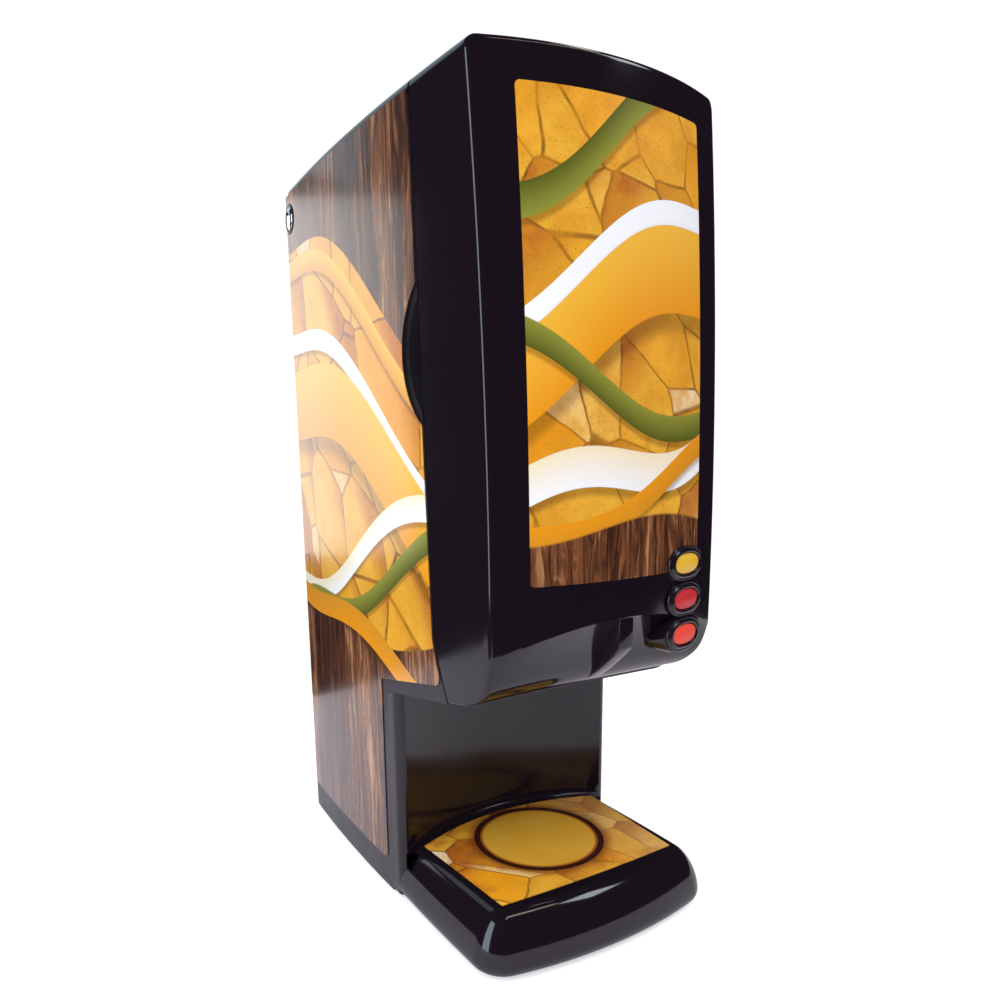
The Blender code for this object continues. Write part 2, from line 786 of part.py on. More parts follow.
def make_base_housing():
    rear_y = NECK_SEAM_Y - GAP
    rings = []
    for inset, z in ((BASE_TUCK, FOOT_HEIGHT), (0, FOOT_HEIGHT + BASE_TUCK)):
        rings.append([(x, y, z) for x, y in base_outline(inset, rear_y)])
    for angle in steps(0, 90, 5):
        turn = math.radians(angle)
        inset = BASE_ROUND * (1 - math.cos(turn))
        z = BASE_TOP_Z - BASE_ROUND * (1 - math.sin(turn))
        rings.append([(x, y, z) for x, y in base_outline(inset, rear_y)])
    housing = loft("base_housing", rings)
    neck_top = head_z(SEAM_FOOT_Y) + OVERRUN
    neck_foot = FOOT_HEIGHT + SHEET + 2 * GAP
    neck_rings = [[(x, y, neck_foot) for x, y in neck_outline(NECK_COVE, 0, NECK_LAP)]]
    for angle in steps(0, 90, 4):
        turn = math.radians(angle)
        forward = NECK_COVE * (1 - math.sin(turn))
        z = BASE_TOP_Z + NECK_COVE * (1 - math.cos(turn))
        neck_rings.append([(x, y, z) for x, y in neck_outline(forward, 0, NECK_LAP)])
    neck_rings.append([(x, y, neck_top) for x, y in neck_outline(0, 0, NECK_LAP)])
    neck = loft("neck", neck_rings)
    base_hollow = prism(
        "base_hollow",
        [base_outline(WALL, NECK_SEAM_Y - GAP - WALL)],
        -OVERRUN,
        BASE_TOP_Z - WALL - MAT_RECESS,
        "Z",
    )
    neck_hollow = prism("neck_hollow", [neck_outline(0, WALL, NECK_LAP + OVERRUN)], -OVERRUN, neck_top + OVERRUN, "Z")
    inner_half = side_x(NECK_SEAM_Y, WALL + SHEET + GAP)
    junction = box(
        "base_junction",
        (-inner_half, NECK_Y - NECK_BOW - NECK_COVE, -OVERRUN),
        (inner_half, NECK_SEAM_Y + NECK_LAP + OVERRUN, BASE_TOP_Z - 2 * WALL),
    )
    reach = HALF_WIDTH + OVERRUN
    above = prism(
        "above_neck",
        [
            [
                (NECK_SEAM_Y + NECK_LAP + OVERRUN, head_z(NECK_SEAM_Y + NECK_LAP + OVERRUN) - GAP),
                (NECK_SEAM_Y + NECK_LAP + OVERRUN, TOP_Z),
                (SEAM_FOOT_Y, TOP_Z),
                (SEAM_FOOT_Y, head_z(SEAM_FOOT_Y) - GAP),
            ]
        ],
        -reach,
        reach,
        "X",
    )
    recess = prism("mat_recess", [mat_outline(GAP)], BASE_TOP_Z - MAT_RECESS, BASE_TOP_Z + OVERRUN, "Z")
    join(housing, neck)
    cut(housing, base_hollow, neck_hollow, junction, above, recess)
    keep(housing, "base_housing", (0.012, 0.011, 0.014), 0.18)


def mat_outline(grow):
    """The mat's plan: wider and bowed at the rear, nearly straight in front."""
    points = []
    for share in steps(-1, 1, 10):
        bow = MAT_FRONT_BOW * (1 - share**2)
        points.append((share * (MAT_FRONT_HALF + grow), MAT_FRONT_Y - grow - bow))
    for share in steps(1, -1, 12):
        bow = MAT_REAR_BOW * (1 - share**2)
        points.append((share * (MAT_REAR_HALF + grow), MAT_REAR_Y + grow + bow))
    return points


def make_tray_mat():
    low = BASE_TOP_Z - MAT_RECESS + GAP
    mat = prism("tray_mat", [mat_outline(0)], low, low + MAT_THICKNESS, "Z")
    keep(mat, "tray_mat", (0.72, 0.42, 0.08), 0.35)


# Inside the cabinet


def nozzle_y():
    return ROTOR_FRONT_Y + ROTOR_DEPTH / 2


def make_head_floor():
    fore = SEAM_FOOT_Y + SEAM_GAP
    rear = NECK_SEAM_Y + NECK_LAP
    outline = [
        (rear, head_z(rear)),
        (rear, head_z(rear) + FLOOR_THICKNESS),
        (fore, head_z(fore) + FLOOR_THICKNESS),
        (fore, head_z(fore)),
    ]
    floor = across_body("head_floor", outline, SHEET + GAP)
    hole = rod(
        "nozzle_hole",
        (0, nozzle_y()),
        NOZZLE_SLEEVE_RADIUS + 2 * GAP,
        HEAD_REAR_Z - OVERRUN,
        head_z(fore) + OVERRUN,
        "Z",
    )
    keep(cut(floor, hole), "head_floor", (0.012, 0.011, 0.014), 0.3)


def make_nozzle_bush():
    """A guide for the bag's tube, square to the sloping floor."""
    bush = rod("nozzle_bush", (0, 0), NOZZLE_FLANGE_RADIUS, GAP, GAP + NOZZLE_FLANGE, "Z", 32)
    sleeve = rod("nozzle_sleeve", (0, 0), NOZZLE_SLEEVE_RADIUS, -NOZZLE_LENGTH, GAP * 2, "Z", 32)
    bore = rod("nozzle_bore", (0, 0), NOZZLE_BORE, -NOZZLE_LENGTH - OVERRUN, NOZZLE_FLANGE + OVERRUN, "Z", 32)
    place = Vector((0, nozzle_y(), head_z(nozzle_y()) + FLOOR_THICKNESS))
    turn = Matrix.Rotation(-math.atan(HEAD_RISE_SHARE), 4, "X")
    for solid in (bush, sleeve, bore):
        solid.data.transform(Matrix.Translation(place) @ turn)
    keep(cut(join(bush, sleeve), bore), "nozzle_bush", (0.8, 0.8, 0.78), 0.4)


def make_front_frame():
    """The slanted frame that the door closes on, with an ear for each hinge pin."""
    low = head_z(SEAM_FOOT_Y + SEAM_GAP) + FLOOR_THICKNESS + GAP + FRAME_DEPTH * HEAD_RISE_SHARE
    front = seam_line(SEAM_GAP, low, CABINET_TOP_Z)
    rear = [(y + FRAME_DEPTH, z) for y, z in reversed(front)]
    frame = across_body("front_frame", front + rear, SHEET + GAP)
    window = prism(
        "frame_window",
        [rectangle((-FRAME_HALF, BAY_FLOOR_Z + FRAME_SILL), (FRAME_HALF, LINER_TOP_Z - FRAME_SILL), [COVER_ROUND] * 4)],
        SEAM_FOOT_Y - OVERRUN,
        SEAM_TOP_Y + SEAM_GAP + FRAME_DEPTH + OVERRUN,
        "Y",
    )
    inner_x = side_x(SEAM_TOP_Y, SHEET + GRIP_DEPTH)
    cut(frame, window, grip_rod("frame_notch", GRIP_RADIUS + GAP, inner_x - 2 * GAP))
    for name, z in hinge_heights():
        join(frame, hinge_ear(name + "_ear", z))
        hole = rod(name + "_hole", (HINGE_X, HINGE_Y), HINGE_PIN_RADIUS + GAP, z - OVERRUN, z + SHEET + OVERRUN, "Z")
        cut(frame, hole)
    keep(frame, "front_frame", (0.05, 0.05, 0.055), 0.45)


def hinge_heights():
    """Name and lower face of each hinge ear."""
    return (
        ("upper_hinge", CABINET_TOP_Z - HINGE_EAR_DROP),
        ("lower_hinge", SEAM_FOOT_Z + LOWER_EAR_RISE),
    )


def hinge_ear(name, z):
    right = HINGE_X + HINGE_EAR_RADIUS
    left = right - HINGE_EAR_WIDTH
    rear = seam_y(z) + SEAM_GAP + FRAME_DEPTH / 2
    end = arc((HINGE_X, HINGE_Y), HINGE_EAR_RADIUS, 360, 200, 10)
    outline = [(right, rear), *end, (left, rear)]
    return prism(name, [outline], z, z + SHEET, "Z")


def make_hinge_pins():
    """Each pin stands in its ear, with its head on the far side from the door's boss."""
    for name, z in hinge_heights():
        up = 1 if name == "upper_hinge" else -1
        ear_face = z + SHEET if up > 0 else z
        far_face = z if up > 0 else z + SHEET
        tip = ear_face + up * (HINGE_BOSS_DEPTH - SHEET)
        head_low = far_face - up * GAP
        head_high = head_low - up * HINGE_HEAD_HEIGHT
        low, high = sorted((head_low, head_high))
        head = rod(name + "_pin", (HINGE_X, HINGE_Y), HINGE_HEAD_RADIUS, low, high, "Z")
        low, high = sorted((head_low - up * GAP, tip))
        stem = rod(name + "_stem", (HINGE_X, HINGE_Y), HINGE_PIN_RADIUS, low, high, "Z")
        keep(join(head, stem), name + "_pin", (0.6, 0.6, 0.62), 0.3, 1.0)


def make_grip():
    """A shallow black cup behind the door's free edge, for the fingers that pull it."""
    inner_x = side_x(SEAM_TOP_Y, SHEET + GRIP_DEPTH)
    centre = grip_centre()
    front_y_low = seam_y(GRIP_Z) + SEAM_GAP
    lean = SEAM_LEAN / (TOP_Z - SEAM_FOOT_Z)
    half = GRIP_RADIUS + OVERRUN
    ahead = [
        (front_y_low - lean * half, GRIP_Z - half),
        (front_y_low + lean * half, GRIP_Z + half),
        (front_y_low - GRIP_RADIUS * 2, GRIP_Z + half),
        (front_y_low - GRIP_RADIUS * 2, GRIP_Z - half),
    ]
    cup = rod("left_grip", centre, GRIP_RADIUS - GAP, -side_x(SEAM_TOP_Y, GAP), -inner_x, "X", 64)
    scoop = rod(
        "grip_scoop",
        centre,
        GRIP_RADIUS - GAP - GRIP_WALL,
        -HALF_WIDTH - OVERRUN,
        -inner_x - GRIP_WALL,
        "X",
        64,
        GRIP_RADIUS - GRIP_REACH / 2,
    )
    clear = prism("grip_clear", [ahead], -HALF_WIDTH - OVERRUN, 0, "X")
    keep(cut(cup, clear, scoop), "left_grip", (0.012, 0.011, 0.014), 0.2)


def liner_outline(inset, front_shift):
    """(y, z) round the chamber: an upright bag space over a ramp, with the pump bay in front and below."""
    top = LINER_TOP_Z - inset
    floor = BAY_FLOOR_Z + inset
    front = [(y + front_shift, z) for y, z in seam_line(SEAM_GAP + FRAME_DEPTH + GAP, floor, top)]
    ramp_rise = (RAMP_REAR_Z - RAMP_FRONT_Z) / (LINER_REAR_Y - BAY_WALL_Y)
    return [
        *front,
        (LINER_REAR_Y - inset, top),
        (LINER_REAR_Y - inset, RAMP_REAR_Z + inset - ramp_rise * inset),
        (BAY_WALL_Y - inset, RAMP_FRONT_Z + inset - ramp_rise * inset),
        (BAY_WALL_Y - inset, floor),
    ]


def make_chamber_liner():
    liner = prism("chamber_liner", [liner_outline(0, 0)], -LINER_HALF, LINER_HALF, "X")
    inside = LINER_HALF - LINER_WALL
    hollow = prism("liner_hollow", [liner_outline(LINER_WALL, -OVERRUN * 4)], -inside, inside, "X")
    cut(liner, hollow)
    shaft = rod(
        "shaft_hole",
        (PUMP_X, PUMP_Z),
        SHAFT_RADIUS + 2 * GAP,
        BAY_WALL_Y - LINER_WALL - OVERRUN,
        BAY_WALL_Y + OVERRUN,
        "Y",
    )
    fan = rod(
        "fan_hole",
        (0, FAN_Z),
        FAN_BORE,
        LINER_REAR_Y - LINER_WALL - OVERRUN,
        LINER_REAR_Y + OVERRUN,
        "Y",
        40,
    )
    tube = rod(
        "tube_hole",
        (0, nozzle_y()),
        NOZZLE_FLANGE_RADIUS + GAP,
        BAY_FLOOR_Z - OVERRUN,
        BAY_FLOOR_Z + OVERRUN,
        "Z",
        32,
    )
    cut(liner, shaft, fan, tube)
    for i, side in enumerate((-1, 1)):
        inner = side * (inside - LEDGE)
        outer = side * (inside + LINER_WALL / 2)
        ledge = box(
            f"rack_ledge_{i + 1}",
            (min(inner, outer), RACK_FRONT_Y, RACK_Z - LEDGE - GAP),
            (max(inner, outer), LINER_REAR_Y - LINER_WALL / 2, RACK_Z - GAP),
        )
        join(liner, ledge)
    keep(liner, "chamber_liner", (0.62, 0.63, 0.64), 0.3, 1.0)


def make_bag_rack():
    """The upper shelf, where a second bag warms up: a sheet with a raised front lip and slots for the air."""
    half = LINER_HALF - LINER_WALL - GAP
    rear = LINER_REAR_Y - LINER_WALL - GUARD_THICKNESS - 2 * GAP
    rack = box("bag_rack", (-half, RACK_FRONT_Y, RACK_Z), (half, rear, RACK_Z + RACK_THICKNESS))
    lip = box("rack_lip", (-half, RACK_FRONT_Y, RACK_Z), (half, RACK_FRONT_Y + RACK_THICKNESS, RACK_Z + RACK_LIP))
    join(rack, lip)
    depth = (rear - RACK_FRONT_Y) / 6
    for i in range(4):
        y = RACK_FRONT_Y + (i + 1) * (rear - RACK_FRONT_Y) / 5
        slot = box(
            f"rack_slot_{i + 1}",
            (-half / 2, y - depth / 3, RACK_Z - OVERRUN),
            (half / 2, y + depth / 3, RACK_Z + OVERRUN),
        )
        cut(rack, slot)
    keep(rack, "bag_rack", (0.62, 0.63, 0.64), 0.35, 1.0)


def make_bag_tray():
    """The removable tray that lies on the ramp, with a slot for the bag's outlet."""
    ramp_rise = (RAMP_REAR_Z - RAMP_FRONT_Z) / (LINER_REAR_Y - BAY_WALL_Y)
    base = RAMP_FRONT_Z + LINER_WALL + GAP

    def on_ramp(y):
        return base + ramp_rise * (y - BAY_WALL_Y + LINER_WALL)

    fore, rear = BAY_WALL_Y, LINER_REAR_Y - LINER_WALL - GAP
    half = LINER_HALF - LINER_WALL - GAP
    outline = [
        (fore, on_ramp(fore)),
        (rear, on_ramp(rear)),
        (rear, on_ramp(rear) + TRAY_THICKNESS),
        (fore, on_ramp(fore) + TRAY_THICKNESS),
    ]
    tray = prism("bag_tray", [outline], -half, half, "X")
    for i, side in enumerate((-1, 1)):
        inner, outer = side * (half - TRAY_THICKNESS), side * half
        wall = prism(
            f"tray_wall_{i + 1}",
            [[(fore, on_ramp(fore)), (rear, on_ramp(rear)), (rear, on_ramp(rear) + TRAY_LIP), (fore, on_ramp(fore) + TRAY_LIP)]],
            min(inner, outer),
            max(inner, outer),
            "X",
        )
        join(tray, wall)
    slot = box(
        "tray_slot",
        (PUMP_X - TRAY_SLOT_WIDTH, fore - OVERRUN, on_ramp(fore) - OVERRUN),
        (PUMP_X - TRAY_SLOT_WIDTH / 4, fore + TRAY_SLOT_LENGTH, on_ramp(rear) + OVERRUN),
    )
    keep(cut(tray, slot), "bag_tray", (0.66, 0.67, 0.68), 0.3, 1.0)


def make_insulation():
    """A slab of foam between the chamber and each side panel, and one over the top."""
    low, high = RAMP_REAR_Z, LINER_TOP_Z
    inner, outer = LINER_HALF + GAP, INSULATION_HALF
    for name, side in (("left_insulation", -1), ("right_insulation", 1)):
        slab = box(
            name,
            (min(side * inner, side * outer), INSULATION_FRONT_Y, low),
            (max(side * inner, side * outer), LINER_REAR_Y, high),
        )
        keep(slab, name, (0.75, 0.72, 0.6), 0.95)
    slab = box(
        "top_insulation",
        (-LINER_HALF, INSULATION_FRONT_Y, LINER_TOP_Z + GAP),
        (LINER_HALF, LINER_REAR_Y, TOP_Z - WALL - GAP),
    )
    keep(slab, "top_insulation", (0.75, 0.72, 0.6), 0.95)


def make_equipment_shelf():
    fore = NECK_SEAM_Y + NECK_LAP + GAP
    rear = REAR_Y - SHEET - GAP
    shelf = plan_between("equipment_shelf", SHEET + GAP, rear, fore, SHELF_Z, SHELF_Z + SHEET)
    keep(shelf, "equipment_shelf", (0.45, 0.46, 0.47), 0.4, 1.0)


# Pump


def ring_sector(name, inner, outer, start, end, low, high, count=14):
    centre = (PUMP_X, PUMP_Z)
    outline = arc(centre, outer, start, end, count) + arc(centre, inner, end, start, count)
    return prism(name, [outline], low, high, "Y")


def track_radii():
    inner = ROLLER_ORBIT + ROLLER_RADIUS + TRACK_CLEARANCE
    return inner, inner + TRACK_WALL


def clamp_pivot():
    """(x, z) of the clamp's pivot pin, over the rotor's left shoulder."""
    reach = track_radii()[1] + CLAMP_PIVOT_RADIUS / 2
    angle = math.radians(110)
    return PUMP_X + reach * math.cos(angle), PUMP_Z + reach * math.sin(angle)


def make_pump_housing():
    inner, outer = track_radii()
    plate_front = ROTOR_FRONT_Y + ROTOR_DEPTH + GAP
    plate_back = BAY_WALL_Y - LINER_WALL - GAP
    half = outer + PLATE_MARGIN
    plate = prism(
        "pump_housing",
        [rectangle((PUMP_X - half, PUMP_Z - outer), (PUMP_X + half, PUMP_Z + half), [PLATE_MARGIN] * 4)],
        plate_front,
        plate_back,
        "Y",
    )
    track = ring_sector("pump_track", inner, outer, -75, 75, ROTOR_FRONT_Y, plate_front + PLATE_THICKNESS / 4)
    hole = rod("plate_shaft_hole", (PUMP_X, PUMP_Z), SHAFT_RADIUS + 2 * GAP, plate_front - OVERRUN, 0, "Y")
    x, z = clamp_pivot()
    pin = rod("clamp_pin_hole", (x, z), CLAMP_PIN_RADIUS + GAP, plate_front - OVERRUN, 0, "Y")
    keep(cut(join(plate, track), hole, pin), "pump_housing", (0.8, 0.8, 0.78), 0.45)


def roller_places():
    places = []
    for i in range(3):
        angle = math.radians(90 + 120 * i)
        places.append((PUMP_X + ROLLER_ORBIT * math.cos(angle), PUMP_Z + ROLLER_ORBIT * math.sin(angle)))
    return places


def make_rotor():
    centre = (PUMP_X, PUMP_Z)
    rear = ROTOR_FRONT_Y + ROTOR_DEPTH
    rotor = rod("pump_rotor", centre, DISC_RADIUS, ROTOR_FRONT_Y, ROTOR_FRONT_Y + DISC_THICKNESS, "Y", 40)
    join(rotor, rod("rear_disc", centre, DISC_RADIUS, rear - DISC_THICKNESS, rear, "Y", 40))
    shaft_end = BAY_WALL_Y + GAP + GEARBOX_DEPTH / 4
    join(rotor, rod("rotor_hub", centre, HUB_RADIUS, ROTOR_FRONT_Y + DISC_THICKNESS / 2, rear - DISC_THICKNESS / 2, "Y", 32))
    join(rotor, rod("rotor_shaft", centre, SHAFT_RADIUS, rear - DISC_THICKNESS / 2, shaft_end, "Y"))
    for i, place in enumerate(roller_places()):
        low, high = ROTOR_FRONT_Y + DISC_THICKNESS / 2, rear - DISC_THICKNESS / 2
        join(rotor, rod(f"roller_pin_{i + 1}", place, ROLLER_PIN_RADIUS, low, high, "Y", 16))
    keep(rotor, "pump_rotor", (0.85, 0.85, 0.83), 0.4)
    hang((PUMP_X, nozzle_y(), PUMP_Z), (0, 0, 0), "rotor_axis", [rotor])


def make_rollers():
    low = ROTOR_FRONT_Y + DISC_THICKNESS + GAP
    high = ROTOR_FRONT_Y + ROTOR_DEPTH - DISC_THICKNESS - GAP
    for i, place in enumerate(roller_places()):
        name = f"pump_roller_{i + 1}"
        roller = rod(name, place, ROLLER_RADIUS, low, high, "Y", 28)
        bore = rod(name + "_bore", place, ROLLER_PIN_RADIUS + GAP, low - OVERRUN, high + OVERRUN, "Y", 16)
        keep(cut(roller, bore), name, (0.2, 0.2, 0.22), 0.5)
        hang((place[0], nozzle_y(), place[1]), (0, 0, 0), name + "_axis", [roller])


def make_clamp():
    """The swinging half of the track, its pivot pin, and the knob that holds it shut."""
    inner, outer = track_radii()
    x, z = clamp_pivot()
    low = ROTOR_FRONT_Y
    high = ROTOR_FRONT_Y + ROTOR_DEPTH
    clamp = ring_sector("tube_clamp", inner, outer, 105, 232, low, high)
    eye = rod("clamp_eye", (x, z), CLAMP_PIVOT_RADIUS, low, high, "Y")
    pad_angle = math.radians(205)
    pad = (PUMP_X + (outer + KNOB_RADIUS / 2) * math.cos(pad_angle), PUMP_Z + (outer + KNOB_RADIUS / 2) * math.sin(pad_angle))
    lug = rod("clamp_lug", pad, KNOB_RADIUS, low, low + ROTOR_DEPTH / 3, "Y")
    join(clamp, eye, lug)
    bore = rod("clamp_eye_bore", (x, z), CLAMP_PIN_RADIUS + GAP, low - OVERRUN, high + OVERRUN, "Y")
    socket = rod("knob_socket", pad, KNOB_RADIUS / 2 + GAP, low - OVERRUN, low + ROTOR_DEPTH / 3 + OVERRUN, "Y")
    keep(cut(clamp, bore, socket), "tube_clamp", (0.85, 0.85, 0.83), 0.4)
    pin = rod("clamp_pin", (x, z), CLAMP_PIN_RADIUS, low - GAP, BAY_WALL_Y - LINER_WALL - GAP * 2, "Y")
    head = rod("clamp_pin_head", (x, z), CLAMP_PIVOT_RADIUS, low - GAP - CLAMP_PIN_RADIUS, low - GAP, "Y")
    keep(join(pin, head), "clamp_pin", (0.6, 0.6, 0.62), 0.3, 1.0)
    lobes = []
    for i in range(36):
        angle = 2 * math.pi * i / 36
        radius = KNOB_RADIUS * (1 + KNOB_LOBE_SHARE * math.cos(6 * angle))
        lobes.append((pad[0] + radius * math.cos(angle), pad[1] + radius * math.sin(angle)))
    knob = prism("clamp_knob", [lobes], low - GAP - KNOB_DEPTH, low - GAP, "Y")
    stub = rod("knob_stub", pad, KNOB_RADIUS / 2, low - 2 * GAP, low + ROTOR_DEPTH / 3, "Y")
    keep(join(knob, stub), "clamp_knob", (0.02, 0.02, 0.02), 0.5)
    hang((x, nozzle_y(), z), (0, 0, 0), "clamp_axis", [clamp])
    hang((pad[0], low, pad[1]), (0, 0, 0), "knob_axis", [knob])


def make_pump_drive():
    front = BAY_WALL_Y + GAP
    back = front + GEARBOX_DEPTH
    half = GEARBOX_SIDE / 2
    gearbox = prism(
        "pump_gearbox",
        [rectangle((PUMP_X - half, PUMP_Z - half), (PUMP_X + half, PUMP_Z + half), [PLATE_MARGIN] * 4)],
        front,
        back,
        "Y",
    )
    socket = rod("gearbox_socket", (PUMP_X, PUMP_Z), SHAFT_RADIUS + GAP, front - OVERRUN, front + GEARBOX_DEPTH / 2, "Y")
    keep(cut(gearbox, socket), "pump_gearbox", (0.35, 0.36, 0.38), 0.45, 1.0)
    motor = rod("pump_motor", (PUMP_X, PUMP_Z), MOTOR_RADIUS, back + GAP, back + GAP + MOTOR_LENGTH, "Y", 32)
    keep(motor, "pump_motor", (0.5, 0.5, 0.52), 0.35, 1.0)


# Warm air


def make_fan():
    front = LINER_REAR_Y + GAP
    back = front + FAN_DEPTH
    half = FAN_SIDE / 2
    frame = prism(
        "fan_frame",
        [
            rectangle((-half, FAN_Z - half), (half, FAN_Z + half), [FAN_STRUT * 0.7] * 4),
            circle((0, FAN_Z), FAN_BORE, 40),
        ],
        front,
        back,
        "Y",
    )
    strut_front = back - FAN_STRUT_DEPTH
    join(frame, rod("fan_motor_seat", (0, FAN_Z), FAN_HUB_RADIUS, strut_front, back - 2 * GAP, "Y", 32))
    for i in range(3):
        reach = FAN_BORE + FAN_STRUT / 2
        low = (FAN_HUB_RADIUS / 2, strut_front + GAP, -FAN_STRUT / 2)
        strut = box(f"fan_strut_{i + 1}", low, (reach, back - GAP, FAN_STRUT / 2))
        turn = Matrix.Rotation(math.radians(30 + 120 * i), 4, "Y")
        strut.data.transform(Matrix.Translation((0, 0, FAN_Z)) @ turn)
        join(frame, strut)
    axle_hole = rod("fan_axle_hole", (0, FAN_Z), FAN_AXLE_RADIUS + GAP, strut_front - OVERRUN, back + OVERRUN, "Y")
    keep(cut(frame, axle_hole), "fan_frame", (0.02, 0.02, 0.02), 0.5)

    hub_front, hub_back = front + FAN_STRUT_DEPTH, strut_front - GAP
    impeller = rod("fan_impeller", (0, FAN_Z), FAN_HUB_RADIUS, hub_front, hub_back, "Y", 28)
    join(impeller, rod("fan_axle", (0, FAN_Z), FAN_AXLE_RADIUS, hub_back - GAP, back, "Y", 16))
    blade_depth = (hub_back - hub_front) * 0.8
    middle = (hub_front + hub_back) / 2
    for i in range(FAN_BLADES):
        blade = box(
            f"fan_blade_{i + 1}",
            (FAN_HUB_RADIUS * 0.8, -blade_depth / 2, -FAN_BLADE_THICKNESS / 2),
            (FAN_BORE - FAN_TIP_CLEARANCE, blade_depth / 2, FAN_BLADE_THICKNESS / 2),
        )
        pitch = Matrix.Rotation(math.radians(FAN_PITCH), 4, "X")
        turn = Matrix.Rotation(2 * math.pi * i / FAN_BLADES, 4, "Y")
        blade.data.transform(Matrix.Translation((0, middle, FAN_Z)) @ turn @ pitch)
        join(impeller, blade)
    keep(impeller, "fan_impeller", (0.02, 0.02, 0.02), 0.45)
    hang((0, middle, FAN_Z), (0, 0, 0), "fan_axis", [impeller])


def make_fan_guard():
    """Rings and bars over the fan's opening, inside the chamber."""
    back = LINER_REAR_Y - LINER_WALL - GAP
    front = back - GUARD_THICKNESS
    outer = FAN_BORE + FAN_STRUT
    guard = prism("fan_guard", [circle((0, FAN_Z), outer, 40), circle((0, FAN_Z), FAN_BORE, 40)], front, back, "Y")
    for i in range(GUARD_RINGS):
        radius = FAN_BORE * (i + 1) / (GUARD_RINGS + 1)
        ring = prism(
            f"guard_ring_{i + 1}",
            [circle((0, FAN_Z), radius + GUARD_BAR / 2, 32), circle((0, FAN_Z), radius - GUARD_BAR / 2, 32)],
            front,
            back,
            "Y",
        )
        join(guard, ring)
    for i in range(2):
        bar = box(
            f"guard_bar_{i + 1}",
            (-outer + GUARD_BAR, front, -GUARD_BAR / 2),
            (outer - GUARD_BAR, back, GUARD_BAR / 2),
        )
        turn = Matrix.Rotation(math.radians(45 + 90 * i), 4, "Y")
        bar.data.transform(Matrix.Translation((0, 0, FAN_Z)) @ turn)
        join(guard, bar)
    keep(guard, "fan_guard", (0.7, 0.7, 0.72), 0.3, 1.0)


def make_heater():
    front = LINER_REAR_Y + GAP
    half = HEATER_WIDTH / 2
    low, high = HEATER_Z - HEATER_HEIGHT / 2, HEATER_Z + HEATER_HEIGHT / 2
    heater = box("heater", (-half, front, low), (half, front + HEATER_BASE, high))
    for i in range(HEATER_FINS):
        x = -half + (i + 0.5) * HEATER_WIDTH / HEATER_FINS
        fin = box(
            f"heater_fin_{i + 1}",
            (x - HEATER_FIN_THICKNESS / 2, front + HEATER_BASE / 2, low),
            (x + HEATER_FIN_THICKNESS / 2, front + HEATER_DEPTH, high),
        )
        join(heater, fin)
    keep(heater, "heater", (0.7, 0.7, 0.72), 0.35, 1.0)


# Electrics


def make_power_supply():
    low = FOOT_HEIGHT + SHEET + GAP
    supply = box(
        "power_supply",
        (SUPPLY_X - SUPPLY_WIDTH / 2, SUPPLY_Y - SUPPLY_LENGTH / 2, low),
        (SUPPLY_X + SUPPLY_WIDTH / 2, SUPPLY_Y + SUPPLY_LENGTH / 2, low + SUPPLY_HEIGHT),
    )
    keep(supply, "power_supply", (0.6, 0.6, 0.62), 0.35, 1.0)


def make_control_board():
    low = SHELF_Z + SHEET + GAP
    board_z = low + STANDOFF
    half_x, half_y = CONTROL_WIDTH / 2, CONTROL_LENGTH / 2
    board = box(
        "control_board",
        (-half_x, CONTROL_Y - half_y, board_z),
        (half_x, CONTROL_Y + half_y, board_z + BOARD_THICKNESS),
    )
    for i, (right, back) in enumerate(((-1, -1), (1, -1), (1, 1), (-1, 1))):
        place = (right * (half_x - 2 * STANDOFF_RADIUS), CONTROL_Y + back * (half_y - 2 * STANDOFF_RADIUS))
        join(board, rod(f"standoff_{i + 1}", place, STANDOFF_RADIUS, low, board_z + BOARD_THICKNESS / 2, "Z", 12))
    top = board_z + BOARD_THICKNESS / 2
    relay = box(
        "relay",
        (-half_x / 2, CONTROL_Y - half_y / 2, top),
        (-half_x / 4, CONTROL_Y, top + CONTROL_PARTS_HEIGHT),
    )
    terminals = box(
        "terminals",
        (0, CONTROL_Y + half_y / 2, top),
        (half_x / 2, CONTROL_Y + half_y * 3 / 4, top + CONTROL_PARTS_HEIGHT),
    )
    keep(join(board, relay, terminals), "control_board", (0.03, 0.18, 0.08), 0.5)


def make_power_inlet():
    flange_front = REAR_Y + GAP
    half_w, half_h = INLET_WIDTH / 2, INLET_HEIGHT / 2
    inlet = prism(
        "power_inlet",
        [
            rectangle(
                (INLET_X - half_w - INLET_FLANGE, INLET_Z - half_h - INLET_FLANGE),
                (INLET_X + half_w + INLET_FLANGE, INLET_Z + half_h + INLET_FLANGE),
                [INLET_FLANGE] * 4,
            )
        ],
        flange_front,
        flange_front + FLANGE,
        "Y",
    )
    body = box(
        "inlet_body",
        (INLET_X - half_w, REAR_Y + SHEET - INLET_DEPTH, INLET_Z - half_h),
        (INLET_X + half_w, flange_front + FLANGE / 2, INLET_Z + half_h),
    )
    cavity = box(
        "inlet_cavity",
        (INLET_X - half_w + SHEET, REAR_Y + SHEET - INLET_CAVITY, INLET_Z - half_h + SHEET),
        (INLET_X + half_w - SHEET, REAR_Y + OVERRUN, INLET_Z + half_h - SHEET),
    )
    cut(join(inlet, body), cavity)
    for i, (right, up) in enumerate(((-1, -1), (0, 1), (1, -1))):
        x, z = INLET_X + right * half_w / 2, INLET_Z + up * half_h / 4
        blade = box(
            f"inlet_blade_{i + 1}",
            (x - INLET_BLADE / 2, REAR_Y + SHEET - INLET_CAVITY - INLET_BLADE, z - INLET_BLADE),
            (x + INLET_BLADE / 2, REAR_Y - SHEET, z + INLET_BLADE),
        )
        join(inlet, blade)
    keep(inlet, "power_inlet", (0.02, 0.02, 0.02), 0.5)


